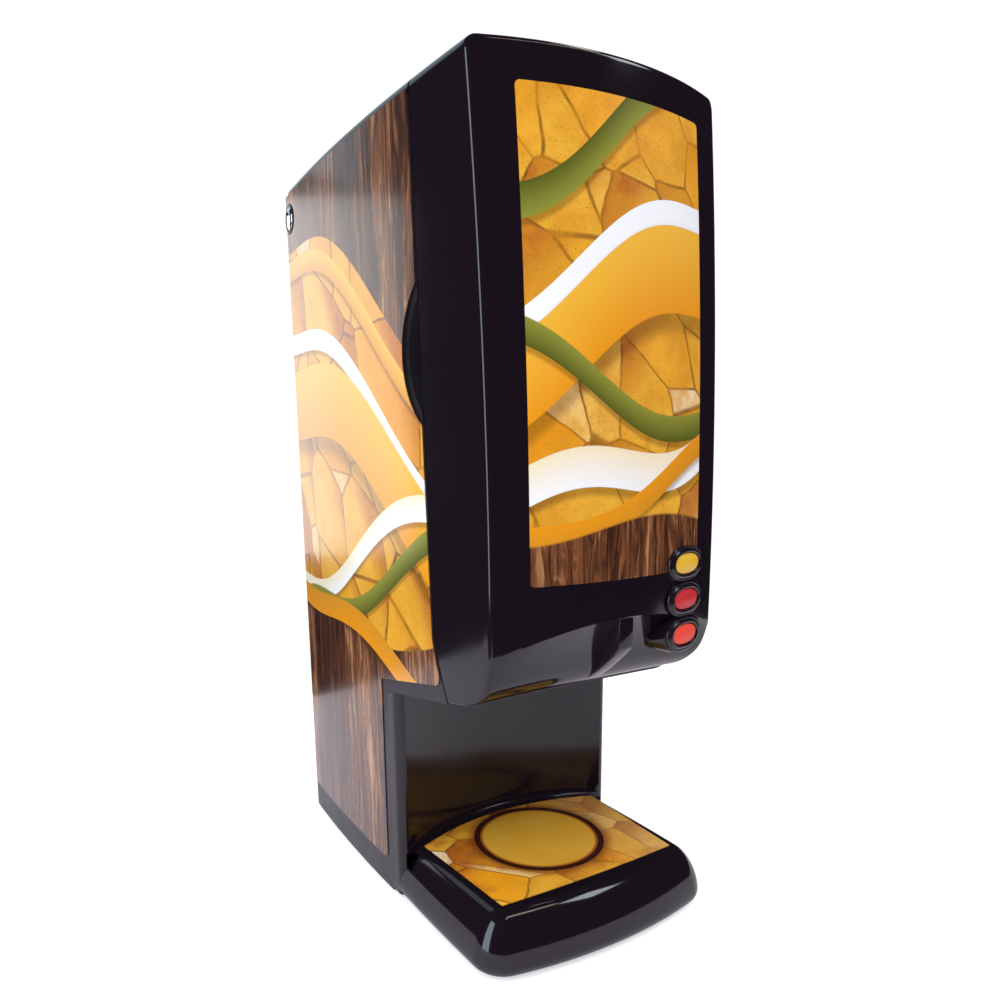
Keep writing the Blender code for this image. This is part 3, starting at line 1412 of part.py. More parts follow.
def make_power_switch():
    """A framed rocker that tips about a level axis in the rear panel."""
    half_w, half_h = ROCKER_WIDTH / 2, ROCKER_HEIGHT / 2
    outer_w, outer_h = half_w + ROCKER_FRAME, half_h + ROCKER_FRAME
    body_w, body_h = half_w + ROCKER_FRAME / 2, half_h + ROCKER_FRAME / 2
    flange_front = REAR_Y + GAP
    housing = box(
        "power_switch_housing",
        (ROCKER_X - outer_w, flange_front, INLET_Z - outer_h),
        (ROCKER_X + outer_w, flange_front + FLANGE, INLET_Z + outer_h),
    )
    body = box(
        "switch_body",
        (ROCKER_X - body_w, REAR_Y - ROCKER_DEPTH, INLET_Z - body_h),
        (ROCKER_X + body_w, flange_front + FLANGE / 2, INLET_Z + body_h),
    )
    well = box(
        "switch_well",
        (ROCKER_X - half_w, REAR_Y - ROCKER_DEPTH + ROCKER_FRAME / 2, INLET_Z - half_h),
        (ROCKER_X + half_w, REAR_Y + OVERRUN, INLET_Z + half_h),
    )
    keep(cut(join(housing, body), well), "power_switch_housing", (0.02, 0.02, 0.02), 0.5)
    pivot_y = REAR_Y - ROCKER_DEPTH / 3
    face = flange_front + FLANGE
    tilt = math.tan(math.radians(ROCKER_ANGLE))
    reach = half_h - 4 * GAP - (face - pivot_y) * tilt / 2
    outline = [
        (face, INLET_Z - reach),
        (face - reach * tilt / 2, INLET_Z),
        (face, INLET_Z + reach),
        (pivot_y, INLET_Z + reach * 0.8),
        (pivot_y - ROCKER_FRAME, INLET_Z),
        (pivot_y, INLET_Z - reach * 0.8),
    ]
    rocker = prism("power_rocker", [outline], ROCKER_X - half_w + GAP, ROCKER_X + half_w - GAP, "X")
    keep(rocker, "power_rocker", (0.6, 0.03, 0.02), 0.35)
    hang((ROCKER_X, pivot_y, INLET_Z), (0, 0, 0), "rocker_axis", [rocker])


# Door


def front_rows(x, low_z, high_z):
    """Heights of the door's front at one place across it: the lip, the chin, the crease and the face."""
    foot, crease = chin_foot(x)[1], crease_z(x)
    lip = [foot + LIP_ROUND * (1 - math.cos(angle)) for angle in steps(0, math.pi / 2, 3)]
    return [low_z, *lip, *steps(lip[-1], crease, 5)[1:], *steps(crease, high_z, 14)[1:]]


def front_block(name, inset, low_z, high_z):
    """A block behind the door's front surface, its rows following the chin's crease."""
    bm = bmesh.new()
    rows = len(front_rows(0, low_z, high_z)) - 1
    bmesh.ops.create_grid(bm, x_segments=18, y_segments=rows, size=1.0)
    for vert in bm.verts:
        x = vert.co.x * (HALF_WIDTH + OVERRUN)
        z = front_rows(x, low_z, high_z)[round((vert.co.y + 1) / 2 * rows)]
        vert.co = (x, front_y(x, z) + inset, z)
    fresh = bmesh.ops.extrude_face_region(bm, geom=bm.faces[:])["geom"]
    for item in fresh:
        if isinstance(item, bmesh.types.BMVert):
            item.co.y = 0
    return guide(name, mesh_from(name, bm))


def door_form(name, inset, rear_shift):
    """The door's outer form, drawn in by an inset, with its rear on the seam or shifted from it."""
    low, high = head_z(FRONT_Y) - CHIN_HEIGHT, TOP_Z + OVERRUN
    block = front_block(name, inset, low, high)
    fore = FRONT_Y - FACE_BOW - OVERRUN
    rear = seam_line(rear_shift, SEAM_FOOT_Z + inset, high)
    profile = prism(
        name + "_profile",
        [[*rear, (fore, high), (fore, head_z(fore) + inset)]],
        -HALF_WIDTH - OVERRUN,
        HALF_WIDTH + OVERRUN,
        "X",
    )
    plan = plan_between(name + "_plan", inset, SEAM_TOP_Y + OVERRUN * 2, fore, low, high, 10)
    return meet(block, profile, plan, door_front_view(name + "_front_view", inset))


def door_outline(inset):
    """The door seen from the front, open below: only its rounded corners and top are shaped here."""
    corners = (DOOR_EDGE_ROUND, DOOR_FOOT_ROUND, DOOR_TOP_ROUND, DOOR_EDGE_ROUND)
    radii = [max(radius - inset, GAP) for radius in corners]
    half, foot = side_x(FRONT_Y, inset), head_z(FRONT_Y) + inset
    widening = side_x(SEAM_TOP_Y, inset) / half
    outline = rectangle((-half, foot), (half, TOP_Z - inset), radii, 6)
    return [(x * widening, z if z > foot + GAP else foot - CHIN_HEIGHT) for x, z in outline]


def door_front_view(name, inset):
    """The front view as a solid whose lower corners follow the rise of the underside."""
    view = prism(name, [door_outline(inset)], FRONT_Y - FACE_BOW - OVERRUN, SEAM_TOP_Y + 2 * OVERRUN, "Y")
    for vert in view.data.vertices:
        if vert.co.z < WINDOW_LOW_Z:
            vert.co.z += head_z(vert.co.y) - head_z(FRONT_Y)
    return view


def button_frames():
    """Name, place on the face and turn of each button, from the top down."""
    slope = 2 * FACE_BOW * BUTTON_X / FACE_HALF**2
    turn = Matrix.Rotation(math.atan(slope), 4, "Z") @ Matrix.Rotation(math.pi / 2, 4, "X")
    frames = []
    for i, name in enumerate(("yellow_button", "red_button", "orange_button")):
        z = BUTTON_TOP_Z - i * BUTTON_PITCH
        frames.append((name, Matrix.Translation((BUTTON_X, face_y(BUTTON_X, z), z)) @ turn, i))
    return frames


def oval_block(name, width, height, low, high, frame):
    """An oval block along a button's own axis, which points out of the door."""
    block = prism(name, [oval(width, height)], low, high, "Z")
    block.data.transform(frame)
    return block


def make_door_shell():
    shell = door_form("door_shell", 0, 0)
    hollow = door_form("door_hollow", WALL, OVERRUN)
    for name, frame, i in button_frames():
        if i == 2:
            pad = oval_block(name + "_pad", BEZEL_WIDTH + WALL, BEZEL_HEIGHT + WALL, -PAD_DEPTH, 0, frame)
            join(shell, pad)
    nose_front = FRONT_Y - FACE_BOW + NOSE_SETBACK
    foot_y, foot_z = chin_foot(0)
    crease = crease_z(0)
    nose_low = crease - NOSE_HEIGHT - NOSE_SETBACK
    nose = prism(
        "nose",
        [
            [
                (nose_front, nose_low),
                (nose_front, crease),
                (nose_front + NOSE_SETBACK, crease),
                (foot_y + WALL, foot_z + WALL),
                (foot_y, foot_z + WALL * HEAD_RISE_SHARE),
            ]
        ],
        -NOSE_WIDTH / 2,
        NOSE_WIDTH / 2,
        "X",
    )
    for name, z in hinge_heights():
        upper = name == "upper_hinge"
        low, high = (z, TOP_Z + OVERRUN) if upper else (SEAM_FOOT_Z - OVERRUN, z + SHEET)
        cut(hollow, rod(name + "_boss", (HINGE_X, HINGE_Y), HINGE_BOSS_RADIUS, low, high, "Z"))
    cut(shell, hollow)
    join(shell, nose)
    for name, z in hinge_heights():
        upper = name == "upper_hinge"
        low, high = (z, z + SHEET + HINGE_BOSS_DEPTH) if upper else (z - HINGE_BOSS_DEPTH, z + SHEET)
        cut(shell, rod(name + "_bore", (HINGE_X, HINGE_Y), HINGE_PIN_RADIUS + GAP, low, high, "Z"))
        head_room = HINGE_HEAD_HEIGHT + 3 * GAP
        slot_low = z - head_room if upper else z - GAP
        slot_high = z + SHEET + GAP if upper else z + SHEET + head_room
        slot = box(
            name + "_slot",
            (HINGE_X - HINGE_BOSS_RADIUS - GAP, HINGE_Y - HINGE_SLOT_REACH, slot_low),
            (HALF_WIDTH + OVERRUN, 0, slot_high),
        )
        cut(shell, slot)
    for name, frame, i in button_frames():
        hole_w = CAP_WIDTH + 2 * (GAP + SLEEVE_WALL + GAP)
        hole_h = CAP_HEIGHT + 2 * (GAP + SLEEVE_WALL + GAP)
        cut(shell, oval_block(name + "_hole", hole_w, hole_h, -PAD_DEPTH - OVERRUN, OVERRUN, frame))
    cut(shell, window_block("window_recess", GAP, WINDOW_THICKNESS + GAP, -OVERRUN))
    keep(shell, "door_shell", (0.012, 0.011, 0.016), 0.12)
    return shell


def window_block(name, grow, depth, lift):
    """A slab under the face in the window's outline, from a lift out of it to a depth."""
    bm = bmesh.new()
    bmesh.ops.create_grid(bm, x_segments=14, y_segments=14, size=1.0)
    half = WINDOW_HALF + grow
    low, high = WINDOW_LOW_Z - grow, WINDOW_HIGH_Z + grow
    for vert in bm.verts:
        x = vert.co.x * (half + OVERRUN)
        z = low - OVERRUN + (vert.co.y + 1) / 2 * (high - low + 2 * OVERRUN)
        vert.co = (x, face_y(x, z) + lift, z)
    fresh = bmesh.ops.extrude_face_region(bm, geom=bm.faces[:])["geom"]
    for item in fresh:
        if isinstance(item, bmesh.types.BMVert):
            item.co.y += depth - lift
    slab = guide(name, mesh_from(name, bm))
    edge = prism(
        name + "_edge",
        [rectangle((-half, low), (half, high), [WINDOW_ROUND + grow] * 4)],
        FRONT_Y - FACE_BOW - 2 * OVERRUN,
        SEAM_TOP_Y,
        "Y",
    )
    return meet(slab, edge)


def make_door_window():
    window = window_block("picture_window", 0, WINDOW_THICKNESS, GAP / 2)
    frame = button_frames()[0][1]
    cut(window, oval_block("window_notch", BEZEL_WIDTH + 2 * WALL, BEZEL_HEIGHT + 2 * WALL, -OVERRUN, OVERRUN, frame))
    keep(window, "picture_window", (0.75, 0.42, 0.07), 0.2)
    return window


def make_door_liner():
    """The panel that closes the door's back, notched for the hinge ears."""
    low, high = SEAM_FOOT_Z + WALL + FLOOR_THICKNESS, TOP_Z
    rear = seam_line(-SEAM_GAP / 2, low, high)
    fore = [(y - WALL, z) for y, z in reversed(rear)]
    panel = across_body("door_liner", rear + fore, WALL + GAP)
    meet(panel, door_front_view("door_liner_edge", WALL + GAP))
    for name, z in hinge_heights():
        notch = box(
            name + "_liner_notch",
            (HINGE_X - HINGE_EAR_WIDTH, HINGE_Y, z - HINGE_HEAD_HEIGHT - 4 * GAP),
            (HALF_WIDTH + OVERRUN, 0, z + SHEET + HINGE_HEAD_HEIGHT + 4 * GAP),
        )
        cut(panel, notch)
    keep(panel, "door_liner", (0.04, 0.04, 0.045), 0.4)
    return panel


def make_door_gasket():
    """A soft seal on the door's back, round the chamber's mouth."""
    low = BAY_FLOOR_Z + FRAME_SILL - SEAM_GAP
    high = LINER_TOP_Z - FRAME_SILL + SEAM_GAP
    outer_half = FRAME_HALF + 3 * SEAM_GAP
    rear = seam_line(SEAM_GAP - GAP, low - 2 * SEAM_GAP, high + 2 * SEAM_GAP)
    fore = [(y, z) for y, z in reversed(seam_line(-SEAM_GAP / 2 + GAP, low - 2 * SEAM_GAP, high + 2 * SEAM_GAP))]
    gasket = prism("door_gasket", [rear + fore], -outer_half, outer_half, "X")
    mouth = prism(
        "gasket_mouth",
        [rectangle((-outer_half + 2 * SEAM_GAP, low), (outer_half - 2 * SEAM_GAP, high), [COVER_ROUND] * 4)],
        SEAM_FOOT_Y - OVERRUN,
        SEAM_TOP_Y + OVERRUN,
        "Y",
    )
    keep(cut(gasket, mouth), "door_gasket", (0.03, 0.03, 0.03), 0.85)
    return gasket


def make_buttons():
    """Each bezel is fixed in the door; its cap slides in the bezel's sleeve."""
    pieces = []
    colours = {
        "yellow_button": (0.85, 0.50, 0.02),
        "red_button": (0.62, 0.01, 0.01),
        "orange_button": (0.85, 0.08, 0.01),
    }
    for name, frame, i in button_frames():
        inner_w, inner_h = CAP_WIDTH + 2 * GAP, CAP_HEIGHT + 2 * GAP
        sleeve_w, sleeve_h = inner_w + 2 * SLEEVE_WALL, inner_h + 2 * SLEEVE_WALL
        bezel_name = name.replace("button", "bezel")
        rings = []
        for width, height, z in (
            (BEZEL_WIDTH, BEZEL_HEIGHT, GAP),
            (BEZEL_WIDTH, BEZEL_HEIGHT, BEZEL_PROUD / 2),
            (BEZEL_WIDTH - BEZEL_PROUD, BEZEL_HEIGHT - BEZEL_PROUD, BEZEL_PROUD),
        ):
            rings.append([(x, y, z) for x, y in oval(width, height)])
        bezel = loft(bezel_name, rings)
        bezel.data.transform(frame)
        join(bezel, oval_block(bezel_name + "_sleeve", sleeve_w, sleeve_h, -SLEEVE_DEPTH, 2 * GAP, frame))
        cut(bezel, oval_block(bezel_name + "_mouth", inner_w, inner_h, -SLEEVE_DEPTH - OVERRUN, OVERRUN, frame))
        keep(bezel, bezel_name, (0.02, 0.018, 0.025), 0.25)
        top = BEZEL_PROUD + CAP_PROUD
        rings = []
        for shrink, z in ((0, top - CAP_DEPTH), (0, top - CAP_CROWN), (CAP_CROWN, top - CAP_CROWN / 3), (3 * CAP_CROWN, top)):
            rings.append([(x, y, z) for x, y in oval(CAP_WIDTH - 2 * shrink, CAP_HEIGHT - 2 * shrink)])
        cap = loft(name, rings)
        cap.data.transform(frame)
        lip_top = -SLEEVE_DEPTH - GAP
        lip = oval_block(
            name + "_lip", CAP_WIDTH + 2 * CAP_LIP, CAP_HEIGHT + 2 * CAP_LIP, lip_top - CAP_LIP_DEPTH, lip_top, frame
        )
        keep(join(cap, lip), name, colours[name], 0.3)
        hang(frame.translation, frame.to_euler(), name + "_axis", [cap])
        pieces += [bezel]
    return pieces


def make_button_board():
    """A narrow circuit board behind the buttons, with a switch for each; legs reach back to the door's liner."""
    frames = button_frames()
    top, bottom = frames[0][1], frames[-1][1]
    cap_back = BEZEL_PROUD + CAP_PROUD - CAP_DEPTH
    back = min(cap_back, -SLEEVE_DEPTH - GAP - CAP_LIP_DEPTH) - BUTTON_TRAVEL - 2 * GAP
    span = BUTTON_PITCH * 2
    board = box(
        "button_board",
        (-BOARD_WIDTH / 2, -span - SWITCH_SIDE / 2, back - SWITCH_SIDE / 2 - BOARD_THICKNESS),
        (BOARD_WIDTH / 2, CAP_HEIGHT / 2, back - SWITCH_SIDE / 2),
    )
    board.data.transform(top)
    spacer = box(
        "board_spacer",
        (-SWITCH_SIDE, -BUTTON_PITCH / 2 - CAP_LIP, back - SWITCH_SIDE / 2 - BOARD_THICKNESS / 2),
        (SWITCH_SIDE, -BUTTON_PITCH / 2 + CAP_LIP, -WALL - 2 * GAP),
    )
    spacer.data.transform(top)
    join(board, spacer)
    for i, (name, frame, _) in enumerate(frames):
        place = top @ Matrix.Translation((0, -i * BUTTON_PITCH, 0))
        switch = box(
            f"switch_{i + 1}",
            (-SWITCH_SIDE / 2, -SWITCH_SIDE / 2, back - SWITCH_SIDE / 2 - BOARD_THICKNESS / 2),
            (SWITCH_SIDE / 2, SWITCH_SIDE / 2, back),
        )
        switch.data.transform(place)
        join(board, switch)
    keep(board, "button_board", (0.03, 0.18, 0.08), 0.5)
    return board


def make_door():
    moving = [make_door_shell(), make_door_window(), make_door_liner(), make_door_gasket(), *make_buttons()]
    moving.append(make_button_board())
    axis = hang((HINGE_X, HINGE_Y, head_z(HINGE_Y)), (0, 0, 0), "door_axis", moving)
    for obj in PARTS.objects:
        if obj.name in ("yellow_button_axis", "red_button_axis", "orange_button_axis"):
            obj.parent = axis
            obj.matrix_parent_inverse = axis.matrix_world.inverted()


def main():
    clear_scene()
    make_side_panels()
    make_side_films()
    make_side_caps()
    make_top_cover()
    make_rear_panel()
    make_bottom_plate()
    make_feet()
    make_base_housing()
    make_tray_mat()
    make_head_floor()
    make_nozzle_bush()
    make_front_frame()
    make_hinge_pins()
    make_grip()
    make_chamber_liner()
    make_bag_rack()
    make_bag_tray()
    make_insulation()
    make_equipment_shelf()
    make_pump_housing()
    make_rotor()
    make_rollers()
    make_clamp()
    make_pump_drive()
    make_fan()
    make_fan_guard()
    make_heater()
    make_power_supply()
    make_control_board()
    make_power_inlet()
    make_power_switch()
    make_door()


main()
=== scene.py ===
"""The looks of a countertop nacho cheese dispenser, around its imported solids. Metres, +Z up, front at -Y."""

import json
import math

import bmesh
import bpy
from mathutils import Matrix, Vector


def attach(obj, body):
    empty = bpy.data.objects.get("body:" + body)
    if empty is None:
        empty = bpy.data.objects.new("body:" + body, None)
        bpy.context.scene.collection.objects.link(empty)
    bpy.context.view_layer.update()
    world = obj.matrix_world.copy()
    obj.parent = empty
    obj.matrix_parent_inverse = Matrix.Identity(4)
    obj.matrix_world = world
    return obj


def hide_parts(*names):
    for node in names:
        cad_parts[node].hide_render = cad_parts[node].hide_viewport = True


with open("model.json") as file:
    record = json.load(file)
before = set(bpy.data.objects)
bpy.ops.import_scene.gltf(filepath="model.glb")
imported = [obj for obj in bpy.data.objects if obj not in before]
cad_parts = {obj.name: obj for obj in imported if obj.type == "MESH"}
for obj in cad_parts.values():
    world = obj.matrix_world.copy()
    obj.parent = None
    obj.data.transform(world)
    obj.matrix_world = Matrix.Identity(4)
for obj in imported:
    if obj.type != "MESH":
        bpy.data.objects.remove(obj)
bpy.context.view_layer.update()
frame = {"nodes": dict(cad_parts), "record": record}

# Sizes: the solids' own, but for some finer forms
GAP = 0.0003
OVERRUN = 0.01
SHEET = 0.002
WALL = 0.003
TOP_Z = 0.684
FOOT_HEIGHT = 0.004
HALF_WIDTH = 0.1225
SIDE_RADIUS = 2.17
WIDEST_Y = 0.030
REAR_Y = 0.198
COVER_DEPTH = 0.012
COVER_ROUND = 0.009
NECK_SEAM_Y = -0.0185
HEAD_REAR_Z = 0.2027
HEAD_RISE_SHARE = 0.149
SEAM_TOP_Y = -0.0865
SEAM_LEAN = 0.0202
SEAM_FOOT_Y = -0.1225
SEAM_HOOK_HEIGHT = 0.050
SEAM_GAP = 0.002
FRONT_Y = -0.1772
FRONT_APEX_Z = 0.291
FRONT_RADIUS = 3.79
FACE_BOW = 0.0208
CHIN_HEIGHT = 0.0635
CHIN_ARCH = 0.024
CHIN_SETBACK = 0.0057
CHIN_BOW = 0.006
CHIN_CURVE = 1.8
LIP_ROUND = 0.022
NOSE_WIDTH = 0.014
NOSE_SETBACK = 0.0012
NOSE_HEIGHT = 0.025
NOSE_DEPTH = 0.011
NOSE_CURVE = 1.5
WINDOW_HALF = 0.084
WINDOW_LOW_Z = 0.318
WINDOW_HIGH_Z = 0.6565
WINDOW_ROUND = 0.0035
HINGE_X = 0.108
HINGE_Y = -0.142
HINGE_SLOT_REACH = 0.0105
HINGE_BOSS_RADIUS = 0.0068
HINGE_HEAD_HEIGHT = 0.004
HINGE_EAR_DROP = 0.006
LOWER_EAR_RISE = 0.030
BUTTON_X = 0.066
BUTTON_TOP_Z = 0.323
BUTTON_PITCH = 0.0292
CAP_WIDTH = 0.033
CAP_HEIGHT = 0.0165
CAP_CROWN = 0.0015
CAP_DEPTH = 0.015
BEZEL_WIDTH = 0.048
BEZEL_HEIGHT = 0.0282
BEZEL_PROUD = 0.0035
PAD_DEPTH = 0.026
SLEEVE_WALL = 0.0025
SLEEVE_DEPTH = 0.009
CAP_PROUD = 0.0012
CAP_LIP = 0.0014
CAP_LIP_DEPTH = 0.002
CAP_SQUARENESS = 2.3
HOLE_WIDTH = CAP_WIDTH + 2 * (2 * GAP + SLEEVE_WALL)
HOLE_HEIGHT = CAP_HEIGHT + 2 * (2 * GAP + SLEEVE_WALL)
BASE_TOP_Z = 0.054
BASE_FRONT_Y = -0.1965
BASE_FRONT_RADIUS = 0.460
BASE_CORNER_RADIUS = 0.030
BASE_FLARE = 0.0085  # wider toward the front than the cabinet's bow
BASE_ROUND = 0.025  # reach of the rolled rim inward
BASE_ROUND_DEPTH = 0.039  # and downward
BASE_ROUND_POWER = 1.65  # below 2 the roll leans in more evenly than an ellipse
BASE_TUCK = 0.010  # the side curls under by this, over this height
BASE_TUCK_HEIGHT = 0.011
NECK_Y = -0.0095
NECK_BOW = 0.028
NECK_CORNER_RADIUS = 0.008
NECK_COVE = 0.009
NECK_LAP = 0.016
MAT_THICKNESS = 0.0015
MAT_RECESS = 0.0012
MAT_REAR_Y = -0.042
MAT_REAR_BOW = 0.0215
MAT_REAR_HALF = 0.100
MAT_FRONT_Y = -0.160
MAT_FRONT_BOW = 0.0025
MAT_FRONT_HALF = 0.0925
FILM = 0.0005
FILM_REAR_MARGIN = 0.002
FILM_SEAM_MARGIN = 0.0015
FILM_TOP_MARGIN = 0.0088  # below the cover's top
FILM_HEAD_MARGIN = 0.011  # above the underside of the head
FILM_NECK_MARGIN = 0.009
FILM_FOOT_MARGIN = 0.029
FILM_ROUND = 0.008
GRIP_RADIUS = 0.067
GRIP_Z = 0.4905
GRIP_REACH = 0.026
SIDE_CAP_Y = 0.184
SIDE_CAP_Z = 0.652
SIDE_CAP_RADIUS = 0.014
SIDE_CAP_PROUD = 0.0035

# Edges and skin
EDGE_FILLET = 0.0045  # upright front edges of the door
EDGE_ROUND = 0.0022
LEFT_TOP_ROUND = 0.009
FRONT_TOP_ROUND = 0.0035
RIGHT_FOOT_ROUND = 0.035
RIGHT_TOP_ROUND = 0.010
COVER_CORNER_RADIUS = 0.010
NOSE_SOFTENING = 0.0009
PAD_SOFTENING = 0.0008
CAP_ROUND = 0.0012
TOP_BAND = 0.010  # height of the door's last, finer rows
SKIN = 0.0027  # thickness of the door's shell

# Rows up the door, finer toward its lip and top
CHIN_SHARES = (
    *(0, 0.004, 0.012, 0.025, 0.045, 0.07, 0.1, 0.14, 0.19, 0.25),
    *(0.32, 0.4, 0.48, 0.56, 0.64, 0.72, 0.8, 0.87, 0.93, 0.97),
)
FACE_SHARES = (0, 0.004, 0.01)
TOP_SHARES = (0.2, 0.38, 0.53, 0.65, 0.75, 0.83, 0.89, 0.94, 0.975, 0.993, 1.0)

# The front of a bezel, as (drawn in, proud): a flat rim, a groove and a rounded ring
BEZEL_PROFILE = (
    *((0.0, 0.0), (0.0, 0.0014), (0.0003, 0.0019), (0.0009, 0.0022), (0.0016, 0.0021)),
    *((0.0019, 0.0019), (0.0022, 0.0020), (0.0026, 0.0026), (0.0034, 0.0032)),
    *((0.0044, BEZEL_PROUD), (0.0056, BEZEL_PROUD), (0.0064, 0.0032)),
)
BEZEL_RIM = 0.0016
CROWN_SHARES = (0.8, 0.6, 0.4, 0.2, 0.05)

# The bright cap and its washer, as (radius, proud of the side)
DOME_PROFILE = (
    *((0.0112, 0.0006), (0.0112, 0.0012), (0.0108, 0.0019), (0.0098, 0.0025)),
    *((0.0078, 0.0030), (0.005, 0.0033), (0.002, SIDE_CAP_PROUD)),
)
WASHER_PROFILE = (
    *((SIDE_CAP_RADIUS, 0.0006), (SIDE_CAP_RADIUS, 0.0011)),
    *((0.0134, 0.0016), (0.0122, 0.0017), (0.0116, 0.0013)),
)

# Artwork
MAT_DISC_Y = -0.084
MAT_DISC_RADIUS = 0.0522
MAT_RING_INNER = 0.0548
MAT_RING_OUTER = 0.0605
MAT_GLOW_RADIUS = 0.073
WOOD_EDGE_Z = 0.038  # height of the wood above the window's foot
PLANK_WIDTH = 0.021
SIDE_PLANK_WIDTH = 0.062

SIDES = ((-1, "left"), (1, "right"))

# From an outline's plane to the axis it is pushed along
PLANES = {
    "X": Matrix(((0, 0, 1, 0), (1, 0, 0, 0), (0, 1, 0, 0), (0, 0, 0, 1))),
    "Y": Matrix(((1, 0, 0, 0), (0, 0, -1, 0), (0, 1, 0, 0), (0, 0, 0, 1))),
    "Z": Matrix.Identity(4),
}


# The body's main surfaces


def arc_drop(distance, radius):
    return radius - math.sqrt(max(0.0, radius**2 - distance**2))


def side_x(y, inset=0.0):
    return HALF_WIDTH - inset - arc_drop(y - WIDEST_Y, SIDE_RADIUS)


def head_z(y):
    return HEAD_REAR_Z + HEAD_RISE_SHARE * (NECK_SEAM_Y - y)


SEAM_FOOT_Z = head_z(SEAM_FOOT_Y)
FACE_HALF = side_x(FRONT_Y)
CABINET_TOP_Z = TOP_Z - COVER_DEPTH - GAP


def seam_y(z):
    leaning = SEAM_TOP_Y - SEAM_LEAN * (TOP_Z - z) / (TOP_Z - SEAM_FOOT_Z)
    curl_share = max(0.0, 1 - (z - SEAM_FOOT_Z) / SEAM_HOOK_HEIGHT)
    return leaning + (SEAM_FOOT_Y - SEAM_TOP_Y + SEAM_LEAN) * curl_share**1.3


def seam_line(shift, low_z, high_z):
    bend = SEAM_FOOT_Z + SEAM_HOOK_HEIGHT
    heights = [low_z] + [z for z in steps(SEAM_FOOT_Z, bend, 12)[1:] if low_z < z < high_z] + [high_z]
    return [(seam_y(z) + shift, z) for z in heights]


def face_y(x, z):
    profile = FRONT_Y + arc_drop(z - FRONT_APEX_Z, FRONT_RADIUS)
    return profile - FACE_BOW * (1 - (x / FACE_HALF) ** 2)


def chin_foot(x):
    y = FRONT_Y + CHIN_SETBACK + CHIN_BOW * (1 - (x / FACE_HALF) ** 2)
    return y, head_z(y)


def crease_z(x):
    return chin_foot(0)[1] + CHIN_HEIGHT - CHIN_ARCH * (x / FACE_HALF) ** 2


def front_y(x, z):
    crease = crease_z(x)
    if z >= crease:
        return face_y(x, z)
    foot_y, foot_z = chin_foot(x)
    height_share = max(0.0, (z - foot_z) / (crease - foot_z))
    slope = foot_y + (face_y(x, crease) - foot_y) * height_share**CHIN_CURVE
    above_roll = LIP_ROUND - min(LIP_ROUND, max(0.0, z - foot_z))
    return slope + arc_drop(above_roll, LIP_ROUND)


# Shapes


def steps(start, end, count):
    return [start + (end - start) * i / count for i in range(count + 1)]


def lerp(a, b, share):
    return a + (b - a) * share


def arc(centre, radius, start, end, count):
    points = []
    for angle in steps(start, end, count):
        turn = math.radians(angle)
        points.append((centre[0] + radius * math.cos(turn), centre[1] + radius * math.sin(turn)))
    return points


def rectangle(low, high, radius, count=8):
    """A rectangle's outline with round corners."""
    corners = (
        (low[0] + radius, low[1] + radius, 180),
        (high[0] - radius, low[1] + radius, 270),
        (high[0] - radius, high[1] - radius, 0),
        (low[0] + radius, high[1] - radius, 90),
    )
    points = []
    for u, v, start in corners:
        points += arc((u, v), radius, start, start + 90, count)
    return points


def oval(width, height, count=72):
    points = []
    for i in range(count):
        angle = 2 * math.pi * i / count
        across, up = math.cos(angle), math.sin(angle)
        x = math.copysign(abs(across) ** (2 / CAP_SQUARENESS), across) * width / 2
        y = math.copysign(abs(up) ** (2 / CAP_SQUARENESS), up) * height / 2
        points.append((x, y))
    return points


def level(outline, z):
    return [(x, y, z) for x, y in outline]


def quarter(count):
    """A quarter turn in steps, as pairs of 1 - cosine and 1 - sine."""
    turns = [math.radians(angle) for angle in steps(0, 90, count)]
    return [(1 - math.cos(turn), 1 - math.sin(turn)) for turn in turns]


def add(name, data):
    obj = bpy.data.objects.new(name, data)
    bpy.context.scene.collection.objects.link(obj)
    return obj


def result_mesh(obj):
    """A new mesh of what the object's modifiers make of it."""
    bpy.context.view_layer.update()
    return bpy.data.meshes.new_from_object(obj.evaluated_get(bpy.context.evaluated_depsgraph_get()))


def weld(bm):
    bmesh.ops.remove_doubles(bm, verts=bm.verts[:], dist=GAP / 100)


def solid(name, bm):
    bmesh.ops.recalc_face_normals(bm, faces=bm.faces[:])
    mesh = bpy.data.meshes.new(name)
    bm.to_mesh(mesh)
    bm.free()
    return add(name, mesh)


def box(name, low, high):
    bm = bmesh.new()
    bmesh.ops.create_cube(bm, size=1.0)
    low, high = Vector(low), Vector(high)
    for vert in bm.verts:
        vert.co = (low + high) / 2 + vert.co * (high - low)
    return solid(name, bm)


def rod(name, centre, radius, low, high, sides=64):
    """A round bar along X, from its centre in Y and Z."""
    bm = bmesh.new()
    bmesh.ops.create_cone(bm, cap_ends=True, segments=sides, radius1=radius, radius2=radius, depth=high - low)
    place = Matrix.Translation(((low + high) / 2, *centre))
    bm.transform(place @ Matrix.Rotation(math.pi / 2, 4, "Y"))
    return solid(name, bm)


def prism(name, outlines, low, high, axis):
    """A flat outline made solid between two places on an axis. Later outlines are holes."""
    data = bpy.data.curves.new(name, "CURVE")
    data.dimensions = "2D"
    data.fill_mode = "BOTH"
    data.extrude = (high - low) / 2
    for outline in outlines:
        spline = data.splines.new("POLY")
        spline.points.add(len(outline) - 1)
        for point, (u, v) in zip(spline.points, outline):
            point.co = (u, v, 0, 1)
        spline.use_cyclic_u = True
    curve = add(name, data)
    mesh = result_mesh(curve)
    bpy.data.objects.remove(curve, do_unlink=True)
    middle = (low + high) / 2
    offset = {"X": (middle, 0, 0), "Y": (0, middle, 0), "Z": (0, 0, middle)}[axis]
    mesh.transform(Matrix.Translation(offset) @ PLANES[axis])
    bm = bmesh.new()
    bm.from_mesh(mesh)
    weld(bm)
    bpy.data.meshes.remove(mesh)
    return solid(name, bm)


